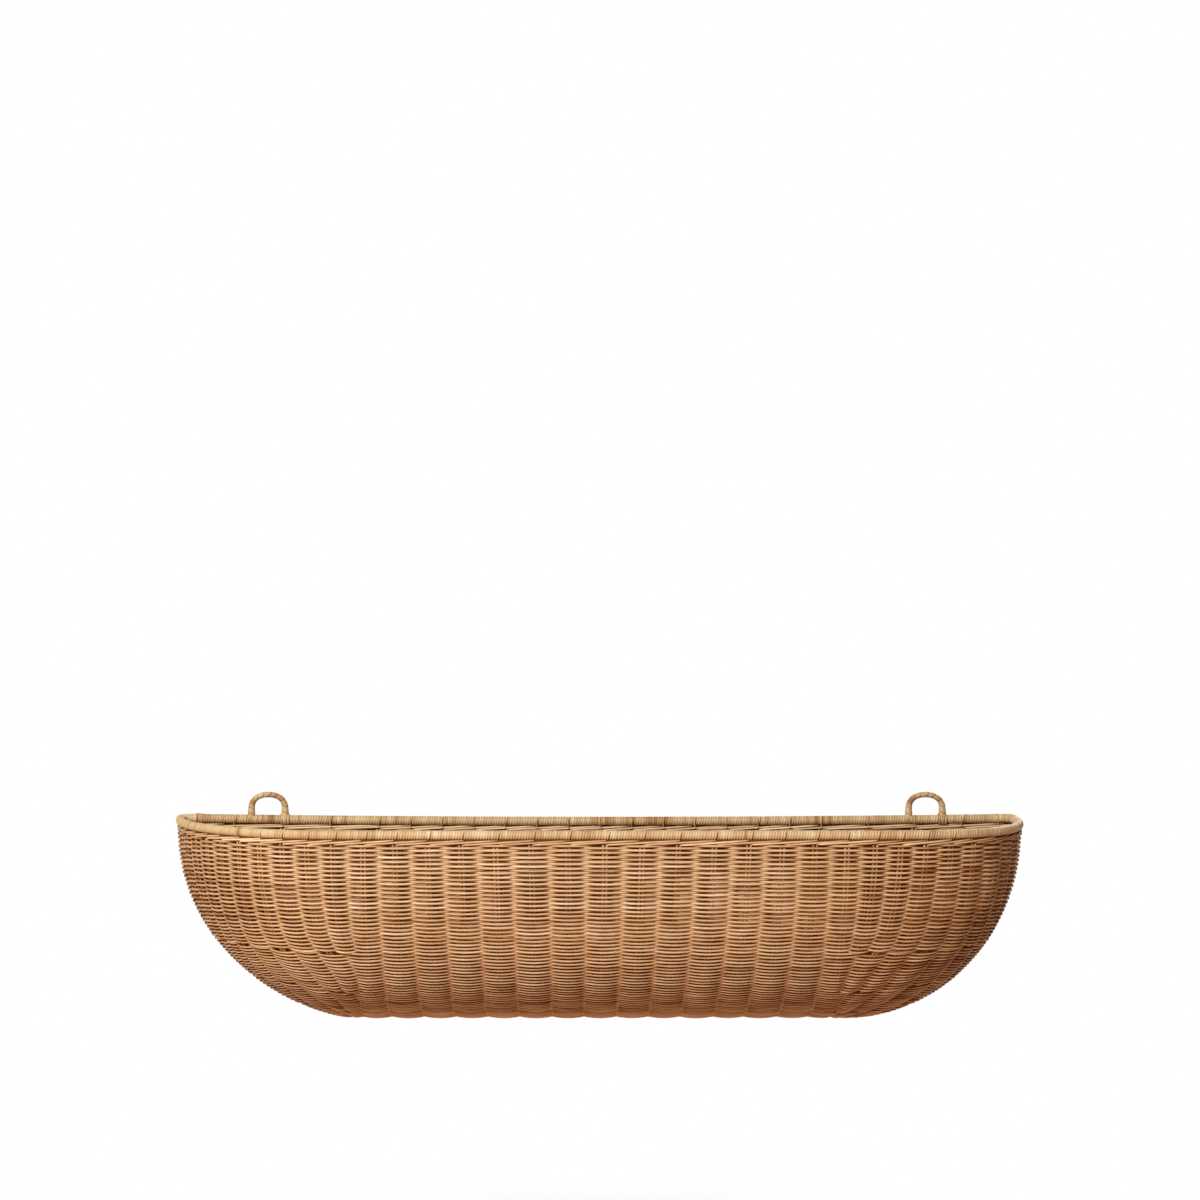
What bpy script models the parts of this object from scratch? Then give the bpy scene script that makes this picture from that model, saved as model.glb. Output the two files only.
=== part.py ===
"""A wall basket: a long half bowl of woven rattan with a flat back, a bound rim and two hanging loops.

Lengths are in metres. The wall is the plane y = 0 and the basket reaches out towards -y. +z is up, and +x
is to the right of someone who faces the basket. The origin lies on the rear face, half way down.
"""

import math
from functools import partial
from typing import NamedTuple

import bmesh
import bpy
from mathutils import Matrix, Vector

# Overall sizes
OVERALL_WIDTH = 0.700
OVERALL_DEPTH = 0.160
BOWL_DROP = 0.1635  # rim centre line down to the middle of the woven bottom

# Rim: a rod inside a wound cane strip
RIM_ROD_DIAMETER = 0.0050
RIM_WRAP_THICKNESS = 0.0009
RIM_CORNER_RADIUS = 0.008
BACK_RIM_SAG = 0.0025

# Stakes stand in pairs, and the strands pass outside one pair and inside the next
STAKE_ROD_DIAMETER = 0.0022
STRAND_DIAMETER = 0.0018
SMALLEST_WALL = 0.0012  # woven material left between two neighbouring pairs

# Middle stakes
MIDDLE_STAKES = 15
MIDDLE_HALF_SPAN = 0.189
MIDDLE_SHIFT = 0.0065  # the middle stakes stand this far to the right of the basket's middle
MIDDLE_SPREAD_SHARE = 0.08  # how much wider than even the rim's middle pitch is
MIDDLE_LEAN = 0.0040  # the stakes lean this far to the left on their way down
MIDDLE_GATHER = 0.0045  # the outermost ones also come in this far on the right, and go out on the left
BEND_RADIUS = 0.0035  # where a stake turns from the bottom up into the back

# Fan stakes at each end
FAN_STAKES = 12
FAN_ROOT_SHARES = (0.58, 0.80, 0.93)  # of the drop, where the first stakes end
FAN_CLOSING_SHARE = 0.55  # of the drop left below such an end, over which its column closes
FAN_OPENING_SHARE = 1.5  # of the closing, over which the column goes from full width to nothing
FAN_LOW_SHARES = (0.55, 0.65, 1.00, 1.40, 1.60, 1.55, 0.85, 0.50, 0.45, 0.40, 0.40, 0.40)  # bottom to rim width
FAN_LOW_EXPONENT = 2.0  # how late on the way down the columns change their width
FAN_FIRST_SHARE = 1.12  # width of the first column next to the others
BACK_FAN_STAKES = 4

# Border of turned-down stake ends, under the rim
BORDER_HEIGHT = 0.0055
BORDER_THICKNESS = 0.0050

# Hanging loops on the back rim
LOOP_INSET = 0.076  # from the basket's end in to the middle of a loop
LOOP_ROD_DIAMETER = 0.0030
LOOP_WRAP_THICKNESS = 0.0007
LOOP_WIDTH = 0.033
LOOP_RISE = 0.0231  # rim centre line up to the loop's top
LOOP_ARCH_HEIGHT = 0.0105
LOOP_ARCH_EXPONENT = 2.2
LASHING_WIDTH = 0.0065

# Fits
TOUCH_GAP = 0.0003
OVERRUN = 0.002

# Shape of the bowl
SEAM_MARGIN = 0.0025  # the front is straight this far past the last middle stake, and curves away after that
FRONT_REACH_EXPONENT = 2.09
FRONT_DROP_EXPONENT = 2.06

# Mesh fineness
LEVELS = 12
END_COLUMNS = 12
ARC_SAMPLES = 40
CORNER_STEPS = 4
SAG_STEPS = 8
ROD_SIDES = 8
WRAP_SIDES = 10
LOOP_STEPS = 12
BEND_STEPS = 3
ROOT_SEARCH_STEPS = 400
MERGE_DISTANCE = TOUCH_GAP / 10
SHORTEST_STEP_SHARE = 0.01  # of the drop, between the last two rings of a stake
SHARP_ANGLE = math.radians(40)
UP = Vector((0, 0, 1))
ALONG = Vector((1, 0, 0))

RIM_RADIUS = RIM_ROD_DIAMETER / 2 + TOUCH_GAP + RIM_WRAP_THICKNESS
LOOP_RADIUS = LOOP_ROD_DIAMETER / 2 + TOUCH_GAP + LOOP_WRAP_THICKNESS
LASHING_RADIUS = RIM_RADIUS + TOUCH_GAP + LOOP_WRAP_THICKNESS
BACK_RIM_DEPTH = LASHING_RADIUS  # the lashings just touch the wall behind the rim
HALF_WIDTH = OVERALL_WIDTH / 2 - RIM_RADIUS
SEAM_X = MIDDLE_HALF_SPAN + MIDDLE_SHIFT + SEAM_MARGIN
LOOP_OFFSET = OVERALL_WIDTH / 2 - LOOP_INSET
FRONT_REACH = OVERALL_DEPTH - RIM_RADIUS
RIM_Z = BOWL_DROP / 2
WEAVE_THICKNESS = STAKE_ROD_DIAMETER + 2 * STRAND_DIAMETER
SKIN_OFFSET = WEAVE_THICKNESS / 2
STAKE_WIDTH = 2 * STAKE_ROD_DIAMETER
BOWL_REAR = WEAVE_THICKNESS + TOUCH_GAP  # depth of the bowl's rear edge, in front of the back panel
EDGE_DEPTH = BOWL_REAR + STAKE_WIDTH / 2 + TOUCH_GAP + SMALLEST_WALL  # depth of the rearmost fan stake
SMALLEST_PITCH = STAKE_WIDTH + 2 * TOUCH_GAP + SMALLEST_WALL
BACK_EDGE_MARGIN = STAKE_WIDTH / 2 + TOUCH_GAP + SMALLEST_WALL  # outermost back stake to the back's edge
BORDER_DROP = RIM_RADIUS + TOUCH_GAP + BORDER_HEIGHT / 2
WEAVE_TOP_DROP = BORDER_DROP + BORDER_HEIGHT / 2 + TOUCH_GAP
FAN_CHOSEN_ROOTS = len(FAN_ROOT_SHARES)
LOOP_PLACES = (("left", -LOOP_OFFSET), ("right", LOOP_OFFSET))


class End(NamedTuple):
    """One end of the bowl: its side of the wall, its curves' exponents and how its columns narrow rearwards."""

    sign: int
    plan_exponent: float
    reach_exponent: float
    drop_exponent: float
    taper_share: float


LEFT_END = End(-1, 2.00, 1.57, 2.26, 0.09)
RIGHT_END = End(1, 3.10, 1.95, 2.08, -0.10)

CANE = ("pale_cane", (0.66, 0.46, 0.26), 0.48)
WEFT = ("honey_rattan", (0.58, 0.34, 0.16), 0.55)
STAKE = ("brown_rattan", (0.42, 0.23, 0.10), 0.60)
BORDER = ("border_rattan", (0.55, 0.32, 0.15), 0.55)


def front_reach_share(drop):
    """Share of the front's reach that is left at a share of the drop."""
    return max(1 - drop**FRONT_DROP_EXPONENT, 0) ** (1 / FRONT_REACH_EXPONENT)


def end_reach_share(end, drop):
    """Share of an end's reach along the wall that is left at a share of the drop."""
    return max(1 - drop**end.drop_exponent, 0) ** (1 / end.reach_exponent)


def drop_at_depth(depth, offset):
    """Share of the drop where the bowl's skin comes back to a depth in front of the wall."""
    reach = depth / (FRONT_REACH + offset)
    return (1 - reach**FRONT_REACH_EXPONENT) ** (1 / FRONT_DROP_EXPONENT)


def last_angle(end, drop, offset, depth):
    """Plan angle, from the front, where a level curve comes back to a depth in front of the wall."""
    reach = (FRONT_REACH + offset) * front_reach_share(drop)
    return math.acos(min(depth / max(reach, depth), 1) ** (end.plan_exponent / 2))


def skin_point(end, angle, drop, offset):
    """A point of the bowl's surface, moved out by an offset from the middle of the weave."""
    power = 2 / end.plan_exponent
    along = math.sin(angle) ** power * end_reach_share(end, drop)
    front = math.cos(angle) ** power * front_reach_share(drop)
    x = SEAM_X + (HALF_WIDTH + offset - SEAM_X) * along
    return Vector((end.sign * x, -(FRONT_REACH + offset) * front, RIM_Z - (BOWL_DROP + offset) * drop))


def back_sag(x):
    """How far the back rim hangs below its ends."""
    return BACK_RIM_SAG * (1 - (x / HALF_WIDTH) ** 2)


def level_drops(offset, top_drop, depth):
    """Shares of the drop of the bowl's rings, from a height below the rim down to a depth at the back."""
    top = math.asin(top_drop / (BOWL_DROP + offset))
    low = math.asin(drop_at_depth(depth, offset))
    return [math.sin(top + (low - top) * k / LEVELS) for k in range(LEVELS + 1)]


def middle_x(index, drop):
    """Place along the wall of a middle stake at a share of the drop."""
    share = 2 * index / (MIDDLE_STAKES - 1) - 1
    spread = MIDDLE_SPREAD_SHARE * math.sin(math.pi * share) / math.pi * (1 - drop)
    lean = (MIDDLE_LEAN + MIDDLE_GATHER * share) * drop**2
    return MIDDLE_SHIFT + MIDDLE_HALF_SPAN * (share + spread) - lean


def last_middle_x(end, drop):
    """Place of the middle stake that an end's fan starts from."""
    return middle_x(MIDDLE_STAKES - 1 if end.sign > 0 else 0, drop)


def end_arc(end, drop):
    """Level curve in the weave's middle, from the last middle stake round to the bowl's rear edge."""
    furthest = last_angle(end, drop, 0, EDGE_DEPTH)
    arc = [skin_point(end, furthest * k / ARC_SAMPLES, drop, 0) for k in range(ARC_SAMPLES + 1)]
    return [Vector((last_middle_x(end, drop), arc[0].y, arc[0].z))] + arc


def walk(points, distance):
    """The point and direction at a distance along a line of points."""
    for start, finish in zip(points, points[1:]):
        step = (finish - start).length
        if step > 0 and distance <= step:
            return start.lerp(finish, distance / step), (finish - start) / step
        distance -= step
    return points[-1], (points[-1] - points[-2]).normalized()


def line_length(points):
    """Length of a line of points."""
    return sum((b - a).length for a, b in zip(points, points[1:]))


def fan_weight(end, number, drop):
    """Relative width of a fan column at a share of the drop. The first ones close below their stakes' ends."""
    weight = 1 - end.taper_share * number / FAN_STAKES
    weight *= 1 + (FAN_LOW_SHARES[number - 1] - 1) * drop**FAN_LOW_EXPONENT
    if number == 1:
        weight *= FAN_FIRST_SHARE
    if number > FAN_CHOSEN_ROOTS:
        return weight
    root = FAN_ROOT_SHARES[number - 1]
    closing = FAN_CLOSING_SHARE * (1 - root)
    opened = min(max((root + closing - drop) / (closing * FAN_OPENING_SHARE), 0), 1)
    return weight * opened * opened * (3 - 2 * opened)


def fan_place(end, number, drop):
    """The point, sideways direction and column width of a fan stake, with no width left below its end."""
    arc = end_arc(end, drop)
    weights = [fan_weight(end, k, drop) for k in range(1, FAN_STAKES + 1)]
    unit = line_length(arc) / sum(weights)
    point, direction = walk(arc, unit * sum(weights[:number]))
    ended = number <= FAN_CHOSEN_ROOTS and drop > FAN_ROOT_SHARES[number - 1]
    return point, direction, 0 if ended else unit * weights[number - 1]


def material(look):
    """The material of a named look, made once."""
    name, colour, roughness = look
    if name in bpy.data.materials:
        return bpy.data.materials[name]
    made = bpy.data.materials.new(name)
    made.use_nodes = True
    shader = made.node_tree.nodes["Principled BSDF"]
    shader.inputs["Base Color"].default_value = (*colour, 1)
    shader.inputs["Roughness"].default_value = roughness
    shader.inputs["Metallic"].default_value = 0
    return made


def new_object(name, build, look, place):
    """An object at a place, whose mesh a function fills in. The function works in world coordinates."""
    mesh = bpy.data.meshes.new(name)
    shape = bmesh.new()
    build(shape)
    bmesh.ops.remove_doubles(shape, verts=shape.verts, dist=MERGE_DISTANCE)
    bmesh.ops.recalc_face_normals(shape, faces=shape.faces)
    shape.transform(Matrix.Translation(-place))
    shape.to_mesh(mesh)
    shape.free()
    mesh.shade_smooth()
    mesh.set_sharp_from_angle(angle=SHARP_ANGLE)
    made = bpy.data.objects.new(name, mesh)
    made.location = place
    made.data.materials.append(material(look))
    bpy.context.scene.collection.objects.link(made)
    return made


def as_guide(made):
    """Turns an object into a hidden cutter or guide."""
    made.hide_render = True
    made.display_type = "WIRE"
    return made


def combine(target, other, operation):
    """Adds a Boolean with another object."""
    modifier = target.modifiers.new(f"{operation.lower()} {other.name}", "BOOLEAN")
    modifier.operation = operation
    modifier.object = other
    modifier.solver = "EXACT"


def grid_faces(shape, rows):
    """Quads between neighbouring rows of vertices."""
    for upper, lower in zip(rows, rows[1:]):
        for k in range(len(upper) - 1):
            shape.faces.new((upper[k], upper[k + 1], lower[k + 1], lower[k]))


def ring_frames(centres, sideways):
    """Sideways and outward directions at each centre. The outward one is stretched to mitre a bend."""
    frames = []
    for k, centre in enumerate(centres):
        steps = [centres[j + 1] - centres[j] for j in (k - 1, k) if 0 <= j < len(centres) - 1]
        tangent = sum((step.normalized() for step in steps), Vector()).normalized()
        across = (sideways[k] - tangent * sideways[k].dot(tangent)).normalized()
        frames.append((centre, across, tangent.cross(across) / tangent.dot(steps[0].normalized())))
    return frames


def sweep(shape, centres, sideways, outline, bore=None):
    """A bar along centres, with a bore if one is given. Outlines hold (sideways, outward) pairs."""
    frames = ring_frames(centres, sideways)
    walls = []
    for points in (outline, bore or ()):
        rings = [[shape.verts.new(c + u * a + v * b) for a, b in points] for c, u, v in frames]
        walls.append([ring + ring[:1] for ring in rings])
        if points:
            grid_faces(shape, walls[-1])
    for end in (0, -1):
        if bore:
            grid_faces(shape, [walls[0][end], walls[1][end]])
        else:
            shape.faces.new(walls[0][end][:-1])


def round_outline(radius, sides):
    """A regular polygon with flats at its top and bottom."""
    turns = [2 * math.pi * (k + 1 / 2) / sides for k in range(sides)]
    return [(radius * math.cos(t), radius * math.sin(t)) for t in turns]


def flat_outline(width, thickness):
    """A rectangle that is wide sideways."""
    a, b = width / 2, thickness / 2
    return [(-a, -b), (a, -b), (a, b), (-a, b)]


def lengthened(points, first, last):
    """A line of points with its two ends moved out along it."""
    start = points[0] + (points[0] - points[1]).normalized() * first
    finish = points[-1] + (points[-1] - points[-2]).normalized() * last
    return [start] + points[1:-1] + [finish]


def middle_stake(index):
    """Centres and sideways directions of a middle stake, from the front rim round to the back rim."""
    bend_depth = SKIN_OFFSET + BEND_RADIUS
    line = []
    for drop in level_drops(0, WEAVE_TOP_DROP, bend_depth):
        depth = FRONT_REACH * front_reach_share(drop)
        line.append(Vector((middle_x(index, drop), -depth, RIM_Z - BOWL_DROP * drop)))
    x, turn_z = line[-1].x, line[-1].z + BEND_RADIUS
    for k in range(1, BEND_STEPS + 1):
        angle = math.pi / 2 * k / BEND_STEPS
        y = -bend_depth + BEND_RADIUS * math.sin(angle)
        line.append(Vector((x, y, turn_z - BEND_RADIUS * math.cos(angle))))
    line.append(Vector((x, -SKIN_OFFSET, RIM_Z - WEAVE_TOP_DROP - back_sag(x))))
    return line, [ALONG] * len(line)


def stake_with_root(place):
    """Centres and sideways directions of a stake that stops where its column gets too narrow for it."""
    drops = level_drops(0, WEAVE_TOP_DROP, EDGE_DEPTH)
    root = drops[0]
    for k in range(1, ROOT_SEARCH_STEPS + 1):
        drop = drops[0] + (drops[-1] - drops[0]) * k / ROOT_SEARCH_STEPS
        point, direction, width = place(drop)
        slant = direction.dot((point - place(root)[0]).normalized())
        if width * math.sqrt(1 - slant * slant) < SMALLEST_PITCH:
            break
        root = drop
    chosen = [drop for drop in drops if drop < root - SHORTEST_STEP_SHARE] + [root]
    places = [place(drop) for drop in chosen]
    return [point for point, _, _ in places], [direction for _, direction, _ in places]


def panel_edge(end, drop, offset):
    """Place along the wall of the flat back's outline, moved out by an offset."""
    return end.sign * (SEAM_X + (HALF_WIDTH + offset - SEAM_X) * end_reach_share(end, drop))


def back_fan_place(end, number, drop):
    """The point, sideways direction and column width of a fan stake in the flat back."""
    inner = last_middle_x(end, 1)
    column = (abs(panel_edge(end, drop, 0) - inner) - BACK_EDGE_MARGIN) / BACK_FAN_STAKES
    x = inner + end.sign * column * number
    z = RIM_Z - BOWL_DROP * drop - back_sag(x)
    return Vector((x, -SKIN_OFFSET, z)), ALONG, column


def skin_row(offset, drop):
    """One ring of the bowl's skin, from its left rear edge round the front to its right rear edge."""
    sides = []
    for end in (LEFT_END, RIGHT_END):
        angles = [last_angle(end, drop, offset, BOWL_REAR) * k / END_COLUMNS for k in range(END_COLUMNS + 1)]
        sides.append([skin_point(end, angle, drop, offset) for angle in angles])
    return sides[0][::-1] + sides[1]


def build_bowl(shape):
    """The bowl's weave as one solid: an outer and an inner skin, joined along all four edges."""
    skins = []
    for offset in (SKIN_OFFSET, -SKIN_OFFSET):
        drops = level_drops(offset, WEAVE_TOP_DROP, BOWL_REAR)
        skins.append([[shape.verts.new(p) for p in skin_row(offset, drop)] for drop in drops])
    outer, inner = skins
    grid_faces(shape, outer)
    grid_faces(shape, [row[::-1] for row in inner])
    for edge in (0, -1):
        grid_faces(shape, [inner[edge], outer[edge]])
        grid_faces(shape, [[row[edge] for row in outer], [row[edge] for row in inner]])


def build_back_panel(shape):
    """The flat back's weave: a D with a flat bottom, whose top follows the sagging rim."""
    drops = level_drops(SKIN_OFFSET, WEAVE_TOP_DROP, BOWL_REAR)
    rows = []
    for y in (0, -WEAVE_THICKNESS):
        top_ends = [panel_edge(end, drops[0], SKIN_OFFSET) for end in (LEFT_END, RIGHT_END)]
        xs = [top_ends[0] + (top_ends[1] - top_ends[0]) * k / SAG_STEPS for k in range(SAG_STEPS + 1)]
        outline = [Vector((x, y, RIM_Z - WEAVE_TOP_DROP - max(back_sag(x), 0))) for x in xs]
        for end, lower_drops in ((RIGHT_END, drops[1:]), (LEFT_END, drops[:0:-1])):
            for drop in lower_drops:
                z = RIM_Z - (BOWL_DROP + SKIN_OFFSET) * drop
                outline.append(Vector((panel_edge(end, drop, SKIN_OFFSET), y, z)))
        ring = [shape.verts.new(p) for p in outline]
        shape.faces.new(ring)
        rows.append(ring + ring[:1])
    grid_faces(shape, rows)


def front_rim_line():
    """Centres of the front rim rod, from its left rear corner round the front to its right one."""
    depth = BACK_RIM_DEPTH + RIM_CORNER_RADIUS
    sides = []
    for end in (LEFT_END, RIGHT_END):
        furthest = last_angle(end, 0, 0, depth)
        side = [skin_point(end, furthest * k / END_COLUMNS, 0, 0) for k in range(END_COLUMNS + 1)]
        centre = side[-1] - ALONG * end.sign * RIM_CORNER_RADIUS
        for k in range(1, CORNER_STEPS + 1):
            angle = math.pi / 2 * k / CORNER_STEPS
            reach = end.sign * RIM_CORNER_RADIUS * math.cos(angle)
            side.append(centre + Vector((reach, RIM_CORNER_RADIUS * math.sin(angle), 0)))
        side.append(side[-1] - ALONG * end.sign * RIM_RADIUS)
        sides.append(side)
    return sides[0][::-1] + sides[1]


def back_rim_line():
    """Centres of the back rim rod, between the ends of the front one."""
    corners = front_rim_line()
    left, right = corners[0].x + TOUCH_GAP, corners[-1].x - TOUCH_GAP
    xs = [left + (right - left) * k / SAG_STEPS for k in range(SAG_STEPS + 1)]
    return [Vector((x, -BACK_RIM_DEPTH, RIM_Z - back_sag(x))) for x in xs]


def back_border_line():
    """Centres of the band under the back rim."""
    drop = BORDER_DROP / BOWL_DROP
    left, right = (panel_edge(end, drop, BORDER_THICKNESS / 2) for end in (LEFT_END, RIGHT_END))
    xs = [left + (right - left) * k / SAG_STEPS for k in range(SAG_STEPS + 1)]
    return [Vector((x, -SKIN_OFFSET, RIM_Z - BORDER_DROP - max(back_sag(x), 0))) for x in xs]


def loop_line(x):
    """Centres of a hanging loop: two legs that start inside the rim, and a flat arch between them."""
    bow = LOOP_WIDTH / 2 - LOOP_RADIUS
    foot = Vector((x, -BACK_RIM_DEPTH, RIM_Z - back_sag(x)))
    middle = foot + UP * (LOOP_RISE - LOOP_RADIUS - LOOP_ARCH_HEIGHT)
    power = 2 / LOOP_ARCH_EXPONENT
    arch = []
    for k in range(LOOP_STEPS + 1):
        turn = math.pi * k / LOOP_STEPS
        side = -bow * math.copysign(abs(math.cos(turn)) ** power, math.cos(turn))
        arch.append(middle + Vector((side, 0, LOOP_ARCH_HEIGHT * math.sin(turn) ** power)))
    return [foot - ALONG * bow] + arch + [foot + ALONG * bow]


def lashing_line(x, width):
    """Centres of the lashing round the rim at a loop's right foot."""
    foot_x = x + LOOP_WIDTH / 2 - LOOP_RADIUS
    ends = (foot_x - width / 2, foot_x + width / 2)
    return [Vector((end_x, -BACK_RIM_DEPTH, RIM_Z - back_sag(end_x))) for end_x in ends]


def bar(name, line, sideways, outline, look, bore=None):
    """An object that is one bar along a line."""
    place = line[len(line) // 2]
    return new_object(name, lambda shape: sweep(shape, line, sideways, outline, bore), look, place)


def make_rim():
    """The two rim rods and their cane wraps."""
    rod = round_outline(RIM_ROD_DIAMETER / 2, ROD_SIDES)
    bore = round_outline(RIM_ROD_DIAMETER / 2 + TOUCH_GAP, WRAP_SIDES)
    wrap = round_outline(RIM_RADIUS, WRAP_SIDES)
    for side, line in (("front", front_rim_line()), ("back", back_rim_line())):
        ups = [UP] * len(line)
        bar(f"{side}_rim_rod", line, ups, rod, STAKE)
        bar(f"{side}_rim_wrap", line, ups, wrap, CANE, bore)


def make_borders():
    """The bands of turned-down stake ends under both rims, with room for the loops' lashings."""
    outline = flat_outline(BORDER_HEIGHT, BORDER_THICKNESS)
    front_line = skin_row(0, BORDER_DROP / BOWL_DROP)
    bar("front_border", front_line, [UP] * len(front_line), outline, BORDER)
    back_line = back_border_line()
    back = bar("back_border", back_line, [UP] * len(back_line), outline, BORDER)
    for side, x in LOOP_PLACES:
        line = lashing_line(x, LASHING_WIDTH + 2 * TOUCH_GAP)
        clear = round_outline(LASHING_RADIUS + TOUCH_GAP, WRAP_SIDES)
        room = as_guide(bar(f"{side}_lashing_room", line, [UP] * len(line), clear, CANE))
        combine(back, room, "DIFFERENCE")


def make_stakes():
    """Every stake pair, and one hidden cutter for the channels that they lie in."""
    stakes = {f"middle_stake_{k + 1:02d}": middle_stake(k) for k in range(MIDDLE_STAKES)}
    blind = {}
    for side, end in (("left", LEFT_END), ("right", RIGHT_END)):
        for number in range(1, FAN_STAKES + 1):
            blind[f"{side}_fan_stake_{number:02d}"] = stake_with_root(partial(fan_place, end, number))
        for number in range(1, BACK_FAN_STAKES + 1):
            place = partial(back_fan_place, end, number)
            blind[f"{side}_back_fan_stake_{number}"] = stake_with_root(place)
    outline = flat_outline(STAKE_WIDTH, STAKE_ROD_DIAMETER)
    for name, (line, sideways) in {**stakes, **blind}.items():
        bar(name, line, sideways, outline, STAKE)
    clear = flat_outline(STAKE_WIDTH + 2 * TOUCH_GAP, STAKE_ROD_DIAMETER + 2 * TOUCH_GAP)

    def build_channels(shape):
        for line, sideways in stakes.values():
            sweep(shape, lengthened(line, OVERRUN, OVERRUN), sideways, clear)
        for line, sideways in blind.values():
            sweep(shape, lengthened(line, OVERRUN, TOUCH_GAP), sideways, clear)

    return as_guide(new_object("stake_channels", build_channels, STAKE, Vector()))


def make_weave(channels):
    """The woven bowl and the woven flat back, with a channel for each stake."""
    bowl = new_object("bowl_weave", build_bowl, WEFT, Vector((0, -FRONT_REACH, 0)))
    panel = new_object("back_weave", build_back_panel, WEFT, Vector())
    for weave in (bowl, panel):
        combine(weave, channels, "DIFFERENCE")


def make_loops():
    """The two hanging loops, their wraps and the lashings over the rim."""
    rim_line = back_rim_line()
    clear_rim = round_outline(RIM_RADIUS + TOUCH_GAP, WRAP_SIDES)
    rim = as_guide(bar("rim_clearance", rim_line, [UP] * len(rim_line), clear_rim, CANE))
    for side, x in LOOP_PLACES:
        line = loop_line(x)
        out = [-Vector((0, 1, 0))] * len(line)
        rod = bar(f"{side}_loop_rod", line, out, round_outline(LOOP_ROD_DIAMETER / 2, ROD_SIDES), STAKE)
        combine(rod, rim, "DIFFERENCE")
        wrap = bar(f"{side}_loop_wrap", line, out, round_outline(LOOP_RADIUS, ROD_SIDES), CANE)
        band_line = lashing_line(x, LASHING_WIDTH)
        band_outline = round_outline(LASHING_RADIUS, WRAP_SIDES)
        band = as_guide(bar(f"{side}_lashing", band_line, [UP] * len(band_line), band_outline, CANE))
        bore_outline = round_outline(LOOP_ROD_DIAMETER / 2 + TOUCH_GAP, ROD_SIDES)
        bore = as_guide(bar(f"{side}_loop_bore", line, out, bore_outline, CANE))
        combine(wrap, band, "UNION")
        combine(wrap, bore, "DIFFERENCE")
        combine(wrap, rim, "DIFFERENCE")


def main():
    """Clears the scene, builds every piece and hangs them all on one empty."""
    for old in list(bpy.data.objects):
        bpy.data.objects.remove(old, do_unlink=True)
    make_rim()
    make_borders()
    make_weave(make_stakes())
    make_loops()
    basket = bpy.data.objects.new("wall_basket", None)
    bpy.context.scene.collection.objects.link(basket)
    for made in list(bpy.context.scene.collection.objects):
        if made is not basket:
            made.parent = basket


main()
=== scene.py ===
"""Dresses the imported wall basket: strands, stake pairs, borders, wound rims, hanging loops and a plain studio.

Lengths are in metres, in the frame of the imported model. The wall is the plane y = 0, the basket reaches out
towards -y, +x is to the right of someone who faces it, and +z is up.
"""

import logging
import math
from dataclasses import dataclass, field
from enum import Enum

import bpy
import numpy as np
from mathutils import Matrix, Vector


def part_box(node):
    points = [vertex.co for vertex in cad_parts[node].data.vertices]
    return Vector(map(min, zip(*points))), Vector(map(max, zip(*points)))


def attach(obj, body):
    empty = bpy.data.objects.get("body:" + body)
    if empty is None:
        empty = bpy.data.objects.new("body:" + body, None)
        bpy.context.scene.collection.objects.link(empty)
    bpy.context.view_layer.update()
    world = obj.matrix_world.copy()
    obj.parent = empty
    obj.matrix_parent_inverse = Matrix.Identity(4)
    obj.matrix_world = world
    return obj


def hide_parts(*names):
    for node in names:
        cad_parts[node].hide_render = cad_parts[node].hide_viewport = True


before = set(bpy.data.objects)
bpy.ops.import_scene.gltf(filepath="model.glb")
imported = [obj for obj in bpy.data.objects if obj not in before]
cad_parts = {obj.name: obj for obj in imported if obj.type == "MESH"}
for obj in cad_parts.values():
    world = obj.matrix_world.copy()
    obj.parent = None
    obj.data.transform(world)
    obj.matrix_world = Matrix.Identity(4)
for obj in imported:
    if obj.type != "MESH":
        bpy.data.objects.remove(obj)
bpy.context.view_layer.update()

BODY = "root"
LOG = logging.getLogger("wall_basket")
UP = np.array((0.0, 0.0, 1.0))
ALONG = np.array((1.0, 0.0, 0.0))
OUT = np.array((0.0, -1.0, 0.0))
Pair = tuple[float, float]
Colour = tuple[float, float, float]
Point = tuple[float, float, float]
Array = np.ndarray
Values = Array | float
Arrays = tuple[Array, Array]


class Slot(Enum):
    """The record's material slots."""

    STAKE = "stake"
    WEFT = "weft"
    BORDER = "border"
    CANE_WRAP = "cane_wrap"


@dataclass(frozen=True)
class RodSizes:
    """Radii, offsets and depths of rods and strands, and how far below the rim's centre line pieces begin."""

    rim: float = 0.0037
    rim_corner: float = 0.008
    back_rim_depth: float = 0.0047
    back_rim_sag: float = 0.0025
    stake: float = 0.0009
    stake_offset: float = 0.00145
    strand_thick: float = 0.00088
    row_pitch: float = 0.00178
    swing: float = 0.00185
    back_middle: float = 0.0029
    bowl_rear: float = 0.0030
    edge_depth: float = 0.0098
    first_row: float = 0.0085
    stake_top: float = 0.0079
    border_low: float = 0.0076
    border_high: float = 0.0043


ROD = RodSizes()


@dataclass(frozen=True)
class Fade:
    """A smooth rise from 0 to 1 over a length from a start. With a negative length it rises below the start."""

    start: float
    length: float

    def at(self, value: Values) -> Values:
        """How far the rise has come at a value."""
        held = np.clip((value - self.start) / self.length, 0, 1)
        return held * held * (3 - 2 * held)


def unit(vectors: Array) -> Array:
    """Vectors scaled to length one along the last axis."""
    return vectors / np.maximum(np.linalg.norm(vectors, axis=-1, keepdims=True), 1e-12)


def square_to(vectors: Array, tangents: Array) -> Array:
    """Vectors without their part along unit tangents."""
    return vectors - tangents * np.sum(vectors * tangents, axis=-1, keepdims=True)


def points_at(x: Values, y: Values, z: Values) -> Array:
    """Points from their coordinates, of which a plain number serves for all points."""
    return np.stack(np.broadcast_arrays(x, y, z), axis=-1)


def walked_along(points: Array) -> Array:
    """Distance of each point from the first, along the line through them."""
    return np.concatenate(([0.0], np.cumsum(np.linalg.norm(np.diff(points, axis=0), axis=1))))


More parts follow.
